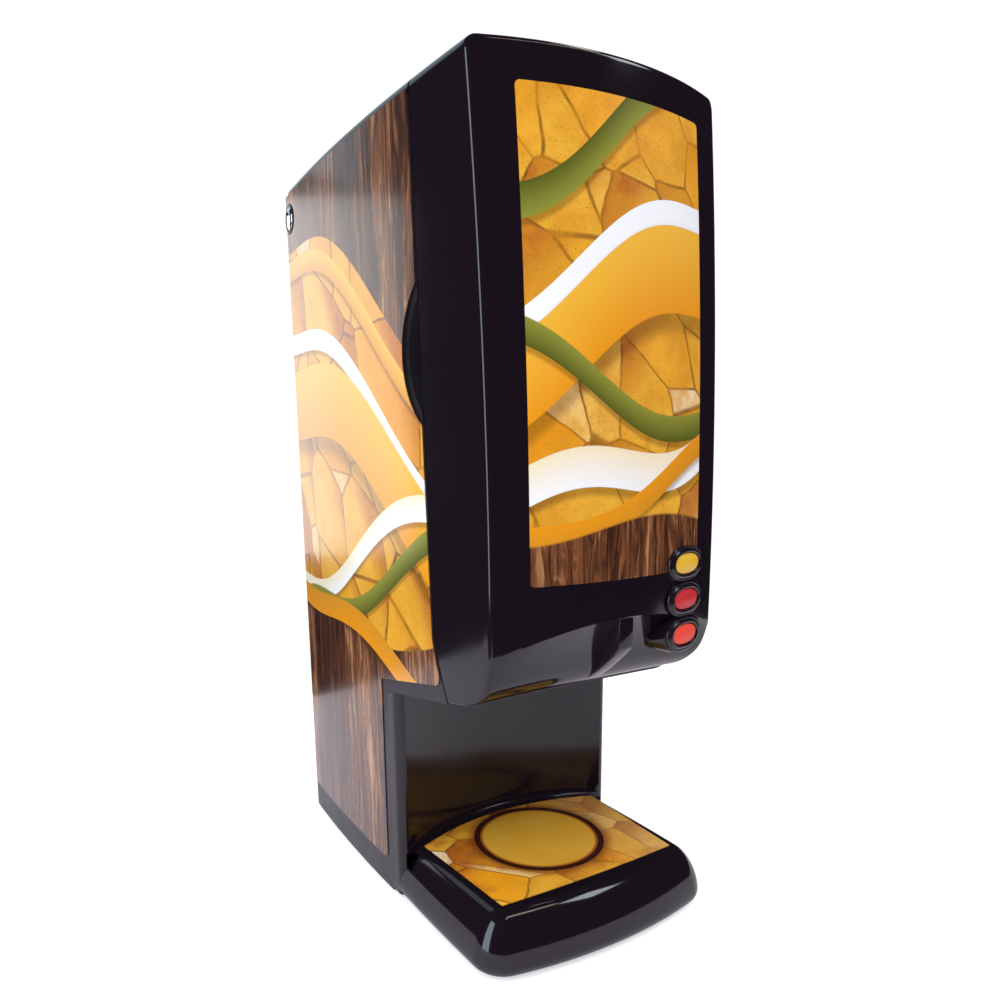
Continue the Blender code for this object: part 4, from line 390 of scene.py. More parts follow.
def stitch(bm, rows, around=True):
    """Faces between each row of vertices and the next."""
    for below, above in zip(rows, rows[1:]):
        for i in range(len(below) if around else len(below) - 1):
            j = (i + 1) % len(below)
            bm.faces.new((below[i], below[j], above[j], above[i]))


def loft(name, rings):
    """A closed solid through rings of points."""
    bm = bmesh.new()
    rows = [[bm.verts.new(point) for point in ring] for ring in rings]
    stitch(bm, rows)
    bm.faces.new(rows[0][::-1])
    bm.faces.new(rows[-1])
    return solid(name, bm)


def settle(obj, angle=30):
    """Makes the modifiers' result the object's own mesh, smooth but for sharp edges."""
    mesh = result_mesh(obj)
    obj.modifiers.clear()
    obj.data = mesh
    mesh.shade_smooth()
    mesh.set_sharp_from_angle(angle=math.radians(angle))
    return obj


def combine(obj, operation, others):
    """Joins, cuts or meets with other objects, which it uses up."""
    for other in others:
        modifier = obj.modifiers.new(other.name, "BOOLEAN")
        modifier.operation = operation
        modifier.object = other
    settle(obj)
    for other in others:
        bpy.data.objects.remove(other, do_unlink=True)
    return obj


def soften(obj, width, segments=3):
    """Rounds an object's sharp edges."""
    bm = bmesh.new()
    bm.from_mesh(obj.data)
    weld(bm)
    bm.to_mesh(obj.data)
    bm.free()
    modifier = obj.modifiers.new("edges", "BEVEL")
    modifier.width = width
    modifier.segments = segments
    modifier.limit_method = "ANGLE"
    modifier.angle_limit = math.radians(40)
    return settle(obj)


def dress(obj, material, body, slot, *nodes):
    """Gives a piece its finish, the body it rides on, and the solids it stands for."""
    obj.data.materials.clear()
    obj.data.materials.append(material)
    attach(obj, body)
    if nodes:
        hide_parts(*nodes)
    return obj


# Materials


class Paint:
    """A material's node tree, with short ways to add to it."""

    def __init__(self, name, colour, roughness, metallic=0.0):
        self.material = bpy.data.materials.new(name)
        self.material.use_nodes = True
        self.tree = self.material.node_tree
        self.shader = self.tree.nodes["Principled BSDF"]
        self.set("Base Color", colour)
        self.set("Roughness", roughness)
        self.set("Metallic", metallic)
        self.place = self.node("TexCoord").outputs["Object"]

    def feed(self, socket, value):
        if isinstance(value, bpy.types.NodeSocket):
            self.tree.links.new(value, socket)
        elif hasattr(socket.default_value, "__len__") and len(socket.default_value) == 4:
            socket.default_value = (*value, 1.0)
        else:
            socket.default_value = value

    def set(self, name, value):
        self.feed(self.shader.inputs[name], value)

    def node(self, kind, *values, **named):
        """A new node, with its inputs fed by place or by name."""
        node = self.tree.nodes.new("ShaderNode" + kind)
        for key, value in (*enumerate(values), *named.items()):
            self.feed(node.inputs[key], value)
        return node

    def math(self, operation, *values):
        node = self.node("Math", *values)
        node.operation = operation
        return node.outputs[0]

    def less(self, a, b):
        return self.math("SUBTRACT", a, b)

    def times(self, a, b):
        return self.math("MULTIPLY", a, b)

    def line(self, value, slope, start):
        return self.math("MULTIPLY_ADD", value, slope, start)

    def axes(self, vector=None):
        return self.node("SeparateXYZ", vector or self.place).outputs

    def point(self, x, y, z):
        return self.node("CombineXYZ", x, y, z).outputs[0]

    def noise(self, scale, detail=3.0, roughness=0.55, distortion=0.0, vector=None):
        place = vector or self.place
        node = self.node("TexNoise", Vector=place, Scale=scale, Detail=detail, Roughness=roughness)
        node.inputs["Distortion"].default_value = distortion
        return node.outputs[0]

    def cells(self, scale, feature="F1", vector=None):
        node = self.node("TexVoronoi", Vector=vector or self.place, Scale=scale)
        node.feature = feature
        return node.outputs[0]

    def span(self, value, low, high, to_low=0.0, to_high=1.0, smooth=False):
        node = self.node("MapRange", value, low, high, to_low, to_high)
        node.interpolation_type = "SMOOTHSTEP" if smooth else "LINEAR"
        return node.outputs[0]

    def mix(self, share, a, b):
        node = self.node("Mix", share)
        node.data_type = "RGBA"
        self.feed(node.inputs[6], a)
        self.feed(node.inputs[7], b)
        return node.outputs[2]

    def ramp(self, value, *stops):
        node = self.node("ValToRGB", value)
        elements = node.color_ramp.elements
        while len(elements) < len(stops):
            elements.new(0.5)
        for element, (place, colour) in zip(elements, stops):
            element.position = place
            element.color = (*colour, 1.0)
        return node.outputs[0]

    def bump(self, height, strength, distance):
        self.set("Normal", self.node("Bump", Height=height, Strength=strength, Distance=distance).outputs[0])

    def coat(self, weight, roughness):
        self.set("Coat Weight", weight)
        self.set("Coat Roughness", roughness)


def moulding(name, colour, roughness, metallic=0.0):
    """Gloss moulded plastic: a faint waviness, and a polish that varies a little."""
    paint = Paint(name, colour, roughness, metallic)
    waves = paint.noise(14.0, 2.0)
    paint.set("Roughness", paint.span(waves, 0.3, 0.7, roughness * 0.75, roughness * 1.3))
    paint.bump(paint.noise(260.0, 2.0), 0.015, 0.0004)
    return paint.material


def satin(name, colour, roughness, metallic=0.0):
    """Moulded or painted surfaces with a fine orange peel."""
    paint = Paint(name, colour, roughness, metallic)
    lighter = tuple(min(1.0, part * 1.25 + 0.004) for part in colour)
    paint.set("Base Color", paint.mix(paint.noise(22.0, 4.0), colour, lighter))
    peel = paint.noise(60.0, 3.0)
    paint.set("Roughness", paint.span(peel, 0.3, 0.7, roughness * 0.85, min(1.0, roughness * 1.15)))
    paint.bump(paint.noise(900.0, 2.0), 0.12, 0.0003)
    return paint.material


def brushed(name, colour, roughness, scale):
    """Metal with fine lines along one way."""
    paint = Paint(name, colour, roughness, 0.75)
    lines = paint.noise(1.0, 4.0, 0.7, 0.0, paint.node("Mapping", Vector=paint.place, Scale=scale).outputs[0])
    darker = tuple(part * 0.78 for part in colour)
    paint.set("Base Color", paint.mix(lines, darker, colour))
    paint.set("Roughness", paint.span(lines, 0.3, 0.7, roughness * 0.75, roughness * 1.35))
    paint.bump(lines, 0.06, 0.0002)
    return paint.material


def galvanised():
    paint = Paint("plated_steel", (0.5, 0.51, 0.53), 0.42, 1.0)
    spangle = paint.cells(90.0)
    paint.set("Base Color", paint.mix(spangle, (0.42, 0.43, 0.45), (0.62, 0.63, 0.65)))
    paint.set("Roughness", paint.span(spangle, 0.0, 0.8, 0.32, 0.5))
    return paint.material


def circuit():
    paint = Paint("circuit_board", (0.02, 0.12, 0.05), 0.45)
    lanes = paint.cells(160.0, "DISTANCE_TO_EDGE")
    paint.set("Base Color", paint.mix(paint.span(lanes, 0.06, 0.09), (0.05, 0.3, 0.12), (0.015, 0.11, 0.045)))
    paint.bump(paint.span(lanes, 0.05, 0.1), 0.2, 0.0002)
    return paint.material


def foam():
    paint = Paint("foam", (0.74, 0.7, 0.58), 0.95)
    pores = paint.cells(420.0)
    paint.set("Base Color", paint.mix(pores, (0.5, 0.46, 0.36), (0.8, 0.76, 0.64)))
    paint.bump(pores, 0.5, 0.0008)
    return paint.material


def wave(paint, u, place, slope, swing, pitch, phase):
    """The height of a flowing line: a slope with a sine on it."""
    sway = paint.math("SINE", paint.line(u, pitch, phase))
    return paint.math("ADD", paint.line(u, slope, place), paint.times(sway, swing))


def ribbon(paint, base, u, v, line, half_width, low_colour, high_colour):
    """One flowing band over what lies under it, shaded from its lower to its upper edge."""
    across = paint.math("DIVIDE", paint.less(v, wave(paint, u, *line)), half_width)
    inside = paint.span(paint.math("ABSOLUTE", across), 1.0, 0.96)
    colour = paint.mix(paint.span(across, -1.0, 1.0), low_colour, high_colour)
    below = paint.math("ABSOLUTE", paint.math("ADD", across, 0.25))
    shadow = paint.span(below, 1.35, 0.95, 0.0, 0.45, True)
    return paint.mix(inside, paint.mix(shadow, base, (0.05, 0.016, 0.004)), colour)


def planks(paint, u, v, width):
    """Dark wood in upright planks."""
    wobble = paint.noise(6.0, 4.0, 0.6, 0.0, paint.point(paint.times(u, 6.0), 0.0, v))
    grain_place = paint.point(paint.line(wobble, 0.035, u), 0.0, paint.times(v, 0.06))
    grain = paint.noise(230.0, 5.0, 0.65, 0.6, grain_place)
    broad = paint.noise(42.0, 3.0, 0.5, 0.0, grain_place)
    tone = paint.math("ADD", paint.times(grain, 0.6), paint.times(broad, 0.5))
    wood = paint.ramp(
        tone,
        (0.40, (0.010, 0.004, 0.003)),
        (0.51, (0.055, 0.018, 0.008)),
        (0.60, (0.17, 0.06, 0.022)),
        (0.72, (0.45, 0.22, 0.09)),
    )
    part = paint.math("FRACT", paint.math("DIVIDE", u, width))
    joint = paint.span(paint.math("ABSOLUTE", paint.less(part, 0.5)), 0.5, 0.475)
    return paint.mix(joint, (0.006, 0.003, 0.003), wood)


AMBER = (0.62, 0.25, 0.014)
GOLD = (0.80, 0.43, 0.04)
ORANGE = (0.76, 0.28, 0.006)
CREAM = (0.84, 0.70, 0.46)
WHITE = (0.84, 0.84, 0.88)
OLIVE = (0.085, 0.095, 0.010)
LIME = (0.25, 0.25, 0.035)
RUST = (0.36, 0.08, 0.012)
SHADE = (0.10, 0.03, 0.006)
RING = (0.035, 0.008, 0.004)

# Bands, the last on top: place, slope, swing, pitch and phase, then half the width and two colours
WINDOW_BANDS = (
    ((0.318, 0.50, 0.016, 30, 0.4), 0.012, LIME, OLIVE),
    ((0.236, 0.42, 0.018, 26, 1.2), 0.009, WHITE, WHITE),
    ((0.196, 0.42, 0.018, 26, 1.2), 0.032, ORANGE, GOLD),
    ((0.137, -0.30, 0.016, 28, 4.1), 0.010, OLIVE, LIME),
    ((0.082, 0.20, 0.012, 30, 3.2), 0.015, WHITE, CREAM),
    ((0.060, 0.34, 0.010, 28, 5.2), 0.009, AMBER, ORANGE),
)
SIDE_BANDS = (
    ((0.520, 0.46, 0.030, 16, 0.3), 0.010, AMBER, GOLD),
    ((0.452, 0.46, 0.028, 16, 0.5), 0.010, WHITE, WHITE),
    ((0.404, 0.40, 0.030, 15, 0.8), 0.036, ORANGE, GOLD),
    ((0.330, -0.26, 0.022, 18, 2.6), 0.011, WHITE, CREAM),
    ((0.300, -0.30, 0.018, 20, 4.0), 0.010, OLIVE, LIME),
    ((0.235, 0.22, 0.014, 19, 1.0), 0.012, ORANGE, AMBER),
)


def facets(paint, u, v, scale, lean):
    """Overlapping flat patches in toasted tones, each darker toward one side."""
    across = paint.line(paint.noise(26.0, 2.0), 0.012, u)
    along = paint.line(u, lean, v)
    place = paint.point(across, along, 0.0)
    patch = paint.node("TexVoronoi", Vector=place, Scale=scale)
    tone = paint.axes(patch.outputs["Color"])[0]
    centre = paint.axes(patch.outputs["Position"])
    field = paint.ramp(tone, (0.0, AMBER), (0.35, GOLD), (0.6, ORANGE), (0.85, GOLD), (1.0, CREAM))
    aside = paint.less(centre[0], across)
    tilt = paint.less(aside, paint.times(paint.less(centre[1], along), 0.7))
    half = 0.75 / scale
    field = paint.mix(paint.span(tilt, 0.1 * half, half, 0.0, 0.9, True), field, RUST)
    field = paint.mix(paint.span(tilt, -0.2 * half, -half, 0.0, 0.5, True), field, GOLD)
    edge = paint.cells(scale, "DISTANCE_TO_EDGE", place)
    return paint.mix(paint.span(edge, 0.022, 0.004, 0.0, 0.8, True), field, SHADE)


def mottle(paint, base, scale, depth):
    """Freckles and soft patches, like toasted grain."""
    patches = paint.noise(scale, 6.0, 0.65)
    freckles = paint.span(paint.cells(scale * 9, "F1"), 0.10, 0.20)
    toned = paint.mix(paint.span(patches, 0.38, 0.62, 0.0, depth), base, AMBER)
    spots = paint.times(paint.less(1.0, freckles), depth)
    return paint.mix(spots, toned, (0.2, 0.06, 0.01))


def window_art():
    """The window's own design: flowing bands in corn and cheese colours over patches and dark planks."""
    paint = Paint("window_art", GOLD, 0.18)
    u, _, z = paint.axes()
    v = paint.less(z, WINDOW_LOW_Z)
    base = mottle(paint, facets(paint, u, v, 17.0, 0.35), 38.0, 0.7)
    for line, half, low, high in WINDOW_BANDS:
        base = ribbon(paint, base, u, v, line, half, low, high)
    speckle = paint.span(paint.cells(520.0, "F1"), 0.12, 0.05, 0.0, 0.35)
    base = paint.mix(speckle, base, SHADE)
    edge = wave(paint, u, WOOD_EDGE_Z, 0.0, 0.009, 26.0, 0.8)
    below = paint.span(paint.less(v, edge), 0.001, -0.001)
    paint.set("Base Color", paint.mix(below, base, planks(paint, u, v, PLANK_WIDTH)))
    paint.coat(0.3, 0.06)
    return paint.material


def side_art():
    """The sides' own design: the same bands sweeping over upright planks."""
    paint = Paint("side_art", GOLD, 0.2)
    _, u, v = paint.axes()
    wood = planks(paint, u, v, SIDE_PLANK_WIDTH)
    patches = mottle(paint, facets(paint, u, v, 13.0, -0.4), 30.0, 0.6)
    upper = wave(paint, u, 0.545, 0.45, 0.030, 16.0, 0.5)
    lower = wave(paint, u, 0.262, 0.0, 0.018, 17.0, 5.0)
    under_upper = paint.span(paint.less(upper, v), -0.0005, 0.0005)
    over_lower = paint.span(paint.less(v, lower), -0.0005, 0.0005)
    inside = paint.times(under_upper, over_lower)
    base = paint.mix(inside, wood, patches)
    for line, half, low, high in SIDE_BANDS:
        base = ribbon(paint, base, u, v, line, half, low, high)
    paint.set("Base Color", base)
    paint.coat(0.45, 0.1)
    return paint.material


def mat_art():
    """The tray mat: patches and freckles round a plain disc where the tray stands, with a painted sheen paling
    its right side.
    """
    paint = Paint("mat_art", GOLD, 0.2)
    x, y, _ = paint.axes()
    base = mottle(paint, facets(paint, x, y, 19.0, 0.5), 60.0, 0.5)
    burnt = paint.span(paint.noise(24.0, 4.0, 0.6), 0.48, 0.66, 0.0, 0.6, True)
    base = paint.mix(burnt, base, RUST)
    # Painted sheen: the mat is paled toward its right side, standing in for glare on its gloss.
    painted_sheen = paint.span(x, 0.015, 0.075, 0.0, 0.25, True)
    base = paint.mix(painted_sheen, base, (0.55, 0.36, 0.16))
    deep = paint.less(y, MAT_DISC_Y)
    square = paint.math("ADD", paint.times(x, x), paint.times(deep, deep))
    reach = paint.math("SQRT", square)
    disc = paint.mix(paint.noise(20.0, 2.0), (0.58, 0.27, 0.018), (0.66, 0.36, 0.045))
    glow = paint.span(reach, MAT_GLOW_RADIUS, MAT_GLOW_RADIUS - 0.015, 0.0, 0.85, True)
    base = paint.mix(glow, base, (0.16, 0.035, 0.008))
    base = paint.mix(paint.span(reach, MAT_RING_OUTER + 0.0007, MAT_RING_OUTER), base, RING)
    base = paint.mix(paint.span(reach, MAT_RING_INNER + 0.0007, MAT_RING_INNER), base, (0.30, 0.09, 0.008))
    base = paint.mix(paint.span(reach, MAT_DISC_RADIUS + 0.0013, MAT_DISC_RADIUS, 0.0, 1.0, True), base, disc)
    paint.set("Base Color", base)
    paint.coat(0.3, 0.1)
    return paint.material


def neck_moulding():
    """The black moulding with the duller finish of the tall wall behind the drip space."""
    paint = Paint("foot_moulding", (0.0075, 0.0045, 0.0075), 0.085)
    _, y, z = paint.axes()
    over_foot = paint.span(z, BASE_TOP_Z + 0.004, BASE_TOP_Z + 0.03, smooth=True)
    behind_mat = paint.span(y, MAT_REAR_Y - 0.028, MAT_REAR_Y - 0.008, smooth=True)
    wall = paint.times(over_foot, behind_mat)
    waves = paint.span(paint.noise(14.0, 2.0), 0.3, 0.7, 0.8, 1.2)
    paint.set("Roughness", paint.times(paint.line(wall, 0.08, 0.08), waves))
    paint.bump(paint.noise(260.0, 2.0), 0.015, 0.0004)
    return paint.material


BLACK = moulding("black_moulding", (0.0075, 0.0045, 0.0075), 0.085)
BLACK_TRIM = moulding("black_trim", (0.008, 0.006, 0.009), 0.20)
FOOT_BLACK = neck_moulding()
GRIP_BLACK = satin("grip_black", (0.005, 0.004, 0.006), 0.6)
GRIP_BLACK.node_tree.nodes["Principled BSDF"].inputs["Specular IOR Level"].default_value = 0.12
CHROME = moulding("chrome_trim", (0.8, 0.81, 0.83), 0.12, 1.0)
YELLOW = moulding("yellow_plastic", (0.72, 0.42, 0.02), 0.42)
RED = moulding("red_plastic", (0.52, 0.012, 0.018), 0.42)
ORANGE_RED = moulding("orange_plastic", (0.76, 0.05, 0.024), 0.42)
PLATED = galvanised()
WINDOW_ART = window_art()
SIDE_ART = side_art()
MAT_ART = mat_art()

BY_SLOT = {
    "black_steel": satin("black_steel", (0.010, 0.008, 0.011), 0.30),
    "printed_film": SIDE_ART,
    "chrome_trim": CHROME,
    "black_moulding": BLACK,
    "dark_plastic": satin("dark_plastic", (0.022, 0.022, 0.024), 0.5),
    "black_rubber": satin("black_rubber", (0.02, 0.02, 0.02), 0.8),
    "yellow_plastic": YELLOW,
    "red_plastic": RED,
    "orange_plastic": ORANGE_RED,
    "circuit_board": circuit(),
    "stainless": brushed("stainless", (0.62, 0.63, 0.64), 0.3, (400, 400, 12)),
    "plated_steel": PLATED,
    "heater_aluminium": brushed("heater_aluminium", (0.62, 0.63, 0.65), 0.35, (300, 60, 300)),
    "white_plastic": satin("white_plastic", (0.78, 0.78, 0.75), 0.4),
    "foam": foam(),
}
BY_NODE = {"left_grip": GRIP_BLACK}


def paint_solids():
    for part in frame["record"]["subparts"]:
        obj = frame["nodes"][part["node"]]
        for slot in obj.material_slots:
            slot.link = "OBJECT"
            slot.material = BY_NODE.get(part["node"], BY_SLOT[part["material_slot"]])


# Door


def small_round(distance, radius):
    """How far an edge is drawn in this close to its end."""
    return arc_drop(radius - distance, radius) if distance < radius else 0.0


def door_height(foot, crease, row):
    kind, share = row
    if kind == "chin":
        return lerp(foot, crease, share)
    if kind == "face":
        return lerp(crease, TOP_Z - TOP_BAND, share)
    return TOP_Z - TOP_BAND * (1 - share)


def door_rows():
    rows = [("chin", share) for share in CHIN_SHARES]
    rows += [("face", share) for share in (*FACE_SHARES, *steps(0.02, 1, 60))]
    return rows + [("top", share) for share in TOP_SHARES]


def side_inset(side, y, z):
    """How far the door's side is drawn in at a height, by its rounded corners."""
    above, below = z - head_z(y), TOP_Z - z
    if side < 0:
        return max(small_round(above, EDGE_ROUND), small_round(below, LEFT_TOP_ROUND))
    return small_round(above, RIGHT_FOOT_ROUND) + small_round(below, RIGHT_TOP_ROUND)


def wall_x(side, y, z):
    return side * (side_x(y) - side_inset(side, y, z))


def eased_y(x, z):
    return front_y(x, z) + small_round(TOP_Z - z, FRONT_TOP_ROUND)


def fillet(corner, back, ahead, radius, count):
    """Points of a rounded corner between two ways out of it."""
    back, ahead = back.normalized(), ahead.normalized()
    half = back.angle(ahead) / 2
    reach = radius / math.tan(half)
    centre = corner + (back + ahead).normalized() * radius / math.sin(half)
    first, last = corner + back * reach, corner + ahead * reach
    points = []
    for share in steps(0, 1, count):
        spoke = (first - centre).lerp(last - centre, share)
        points.append(centre + spoke.normalized() * radius)
    return points


def door_corner(side, row):
    """(x, y, z) where the door's side meets its front in one row."""
    x, y, z = side * FACE_HALF, FRONT_Y, SEAM_FOOT_Z
    for _ in range(6):
        foot_y = chin_foot(x)[0] + LIP_ROUND
        z = door_height(head_z(foot_y), crease_z(x), row)
        x = wall_x(side, y, z)
        y = eased_y(x, z)
    return Vector((x, y, z))


def door_row(row, across=64, deep=10):
    """A row of the door's skin, round its left side, front and right side."""
    ends = []
    for side, _ in SIDES:
        corner = door_corner(side, row)
        z = corner.z
        nearer = Vector((wall_x(side, corner.y + SHEET, z), corner.y + SHEET))
        inner_x = corner.x - side * SHEET
        inner = Vector((inner_x, eased_y(inner_x, z)))
        flat = corner.to_2d()
        radius = max(EDGE_FILLET - small_round(TOP_Z - z, FRONT_TOP_ROUND), GAP)
        bend = [Vector((p.x, p.y, z)) for p in fillet(flat, nearer - flat, inner - flat, radius, 6)]
        seam_z = door_height(SEAM_FOOT_Z, crease_z(corner.x), row)
        seam = Vector((0, seam_y(seam_z), seam_z))
        wall = []
        for share in steps(0, 1, deep)[:-1]:
            y, height = lerp(seam.y, bend[0].y, share), lerp(seam.z, z, share)
            wall.append(Vector((wall_x(side, y, height), y, height)))
        ends.append(wall + bend)
    left, right = ends
    front = []
    for share in steps(0, 1, across)[1:-1]:
        x = lerp(left[-1].x, right[-1].x, share)
        z = door_height(head_z(chin_foot(x)[0] + LIP_ROUND), crease_z(x), row)
        front.append(Vector((x, eased_y(x, z), z)))
    return left + front + right[::-1]


def button_frames():
    slope = 2 * FACE_BOW * BUTTON_X / FACE_HALF**2
    turn = Matrix.Rotation(math.atan(slope), 4, "Z") @ Matrix.Rotation(math.pi / 2, 4, "X")
    frames = {}
    for i, name in enumerate(("yellow", "red", "orange")):
        z = BUTTON_TOP_Z - i * BUTTON_PITCH
        frames[name] = Matrix.Translation((BUTTON_X, face_y(BUTTON_X, z), z)) @ turn
    return frames


def oval_block(name, width, height, low, high, place):
    block = prism(name, [oval(width, height)], low, high, "Z")
    block.data.transform(place)
    return block


def make_door_shell():
    bm = bmesh.new()
    rows = [[bm.verts.new(point) for point in door_row(row)] for row in door_rows()]
    stitch(bm, rows, False)
    bm.faces.new(rows[0][::-1])
    bm.faces.new(rows[-1])
    weld(bm)
    shell = solid("door_skin", bm)
    skin = shell.modifiers.new("skin", "SOLIDIFY")
    skin.thickness = SKIN
    skin.offset = -1
    settle(shell)
    cutters = []
    depth = PAD_DEPTH + OVERRUN
    for name, place in button_frames().items():
        cutters.append(oval_block(name + "_hole", HOLE_WIDTH, HOLE_HEIGHT, -depth, OVERRUN, place))
    for name, z in (("upper", CABINET_TOP_Z - HINGE_EAR_DROP), ("lower", SEAM_FOOT_Z + LOWER_EAR_RISE)):
        head_room = HINGE_HEAD_HEIGHT + 3 * GAP
        low = z - head_room if name == "upper" else z - GAP
        high = z + SHEET + GAP if name == "upper" else z + SHEET + head_room
        near = (HINGE_X - HINGE_BOSS_RADIUS - GAP, HINGE_Y - HINGE_SLOT_REACH, low)
        cutters.append(box(name + "_slot", near, (HALF_WIDTH + OVERRUN, 0, high)))
    combine(shell, "DIFFERENCE", cutters)
    dress(shell, BLACK, "door", "black_moulding", "door_shell")


def make_nose():
    """The rib under the crease: upright in front, then hollow down to the lip."""
    front = FRONT_Y - FACE_BOW + NOSE_SETBACK
    foot_z = chin_foot(0)[1]
    crease = crease_z(0)
    low = crease - NOSE_HEIGHT
    outline = [(front + NOSE_DEPTH, crease), (front, crease)]
    for share in steps(0, 1, 12):
        z = lerp(low, foot_z + LIP_ROUND / 4, share)
        outline.append((lerp(front, front_y(0, z), 1 - (1 - share) ** NOSE_CURVE), z))
    outline.append((outline[-1][0] + WALL, outline[-1][1] + WALL))
    nose = soften(prism("nose", [outline], -NOSE_WIDTH / 2, NOSE_WIDTH / 2, "X"), NOSE_SOFTENING)
    dress(nose, BLACK, "door", "black_moulding")


def make_button_pad(place):
    """The oval boss that carries the lowest button down over the chin."""
    outer = oval(BEZEL_WIDTH + WALL, BEZEL_HEIGHT + WALL)
    inner = oval(HOLE_WIDTH, HOLE_HEIGHT)
    pad = prism("button_pad", [outer, inner], -PAD_DEPTH + WALL, GAP, "Z")
    soften(pad, PAD_SOFTENING)
    pad.data.transform(place)
    dress(pad, BLACK, "door", "black_moulding")


def make_bezel(name, place):
    """The oval ring in front, with the sleeve that the cap slides in."""
    rim = (BEZEL_WIDTH - CAP_WIDTH) / 2
    side_less = (BEZEL_WIDTH - CAP_WIDTH - BEZEL_HEIGHT + CAP_HEIGHT) / 2
    profile = (
        *BEZEL_PROFILE,
        (rim - GAP, BEZEL_RIM),
        (rim - GAP, -SLEEVE_DEPTH),
        (rim - GAP - SLEEVE_WALL, -SLEEVE_DEPTH),
        (rim - GAP - SLEEVE_WALL, 0.0),
    )
    bm = bmesh.new()
    rings = []
    for inset, z in profile:
        ring = oval(BEZEL_WIDTH - 2 * inset, BEZEL_HEIGHT - 2 * (inset - side_less * inset / rim))
        rings.append([bm.verts.new(place @ Vector((x, y, z))) for x, y in ring])
    stitch(bm, rings + rings[:1])
    dress(settle(solid(name + "_ring", bm), 50), BLACK_TRIM, "door", "black_moulding", name + "_bezel")


def make_cap(name, place, material):
    """A crowned oval cap, with the flange that keeps it behind its sleeve."""
    top = BEZEL_PROUD + CAP_PROUD
    low = top - 2 * CAP_CROWN
    rings = [level(oval(CAP_WIDTH, CAP_HEIGHT), z) for z in (top - CAP_DEPTH, low)]
    for across, down in quarter(6):
        inset = CAP_ROUND * across
        z = low + CAP_ROUND * (1 - down)
        rings.append(level(oval(CAP_WIDTH - 2 * inset, CAP_HEIGHT - 2 * inset), z))
    for share in CROWN_SHARES:
        z = low + CAP_ROUND + (2 * CAP_CROWN - CAP_ROUND) * (1 - share**2)
        width, height = (CAP_WIDTH - 2 * CAP_ROUND) * share, (CAP_HEIGHT - 2 * CAP_ROUND) * share
        rings.append(level(oval(width, height), z))
    cap = loft(name + "_cap", rings)
    cap.data.transform(place)
    dress(settle(cap, 50), material, name + "_cap", name + "_plastic", name + "_button")
    lip_top = -SLEEVE_DEPTH - GAP
    width, height = CAP_WIDTH + 2 * CAP_LIP, CAP_HEIGHT + 2 * CAP_LIP
    lip = oval_block(name + "_flange", width, height, lip_top - CAP_LIP_DEPTH, lip_top, place)
    dress(settle(lip), material, name + "_cap", name + "_plastic")


def make_buttons():
    paints = {"yellow": YELLOW, "red": RED, "orange": ORANGE_RED}
    for name, place in button_frames().items():
        make_bezel(name, place)
        make_cap(name, place, paints[name])


def make_window():
    """The picture panel: a thin sheet on the bowed face, with eased edges."""
    bm = bmesh.new()
    low, high = WINDOW_LOW_Z, WINDOW_HIGH_Z
    bmesh.ops.create_grid(bm, x_segments=56, y_segments=72, size=1.0)
    for vert in bm.verts:
        x = vert.co.x * (WINDOW_HALF + OVERRUN)
        z = low - OVERRUN + (vert.co.y + 1) / 2 * (high - low + 2 * OVERRUN)
        vert.co = (x, face_y(x, z) - GAP, z)
    for item in bmesh.ops.extrude_face_region(bm, geom=bm.faces[:])["geom"]:
        if isinstance(item, bmesh.types.BMVert):
            item.co.y += 2 * GAP + SHEET / 2
    sheet = solid("window_sheet", bm)
    outline = rectangle((-WINDOW_HALF, low), (WINDOW_HALF, high), WINDOW_ROUND)
    edge = prism("window_edge", [outline], FRONT_Y - FACE_BOW - 2 * OVERRUN, SEAM_TOP_Y, "Y")
    combine(sheet, "INTERSECT", [edge])
    dress(sheet, WINDOW_ART, "door", "printed_film", "picture_window")


# Cabinet


def side_sheet(name, outline, side, inner, outer, count=60):
    depths = steps(REAR_Y + OVERRUN, SEAM_FOOT_Y - OVERRUN, count)
    strip = [(side * side_x(y, -outer), y) for y in depths]
    strip += [(side * side_x(y, -inner), y) for y in reversed(depths)]
    sheet = prism(name, [strip], 0, TOP_Z + OVERRUN, "Z")
    reach, near = side * (HALF_WIDTH + OVERRUN), side * REAR_Y / 4
    edge = prism(name + "_edge", [outline], min(reach, near), max(reach, near), "X")
    return combine(sheet, "INTERSECT", [edge])


def grip_rod(name, radius):
    centre = (seam_y(GRIP_Z) + SEAM_GAP + GRIP_REACH - GRIP_RADIUS, GRIP_Z)
    return rod(name, centre, radius, -HALF_WIDTH - OVERRUN, -side_x(SEAM_TOP_Y, SHEET + OVERRUN), 160)


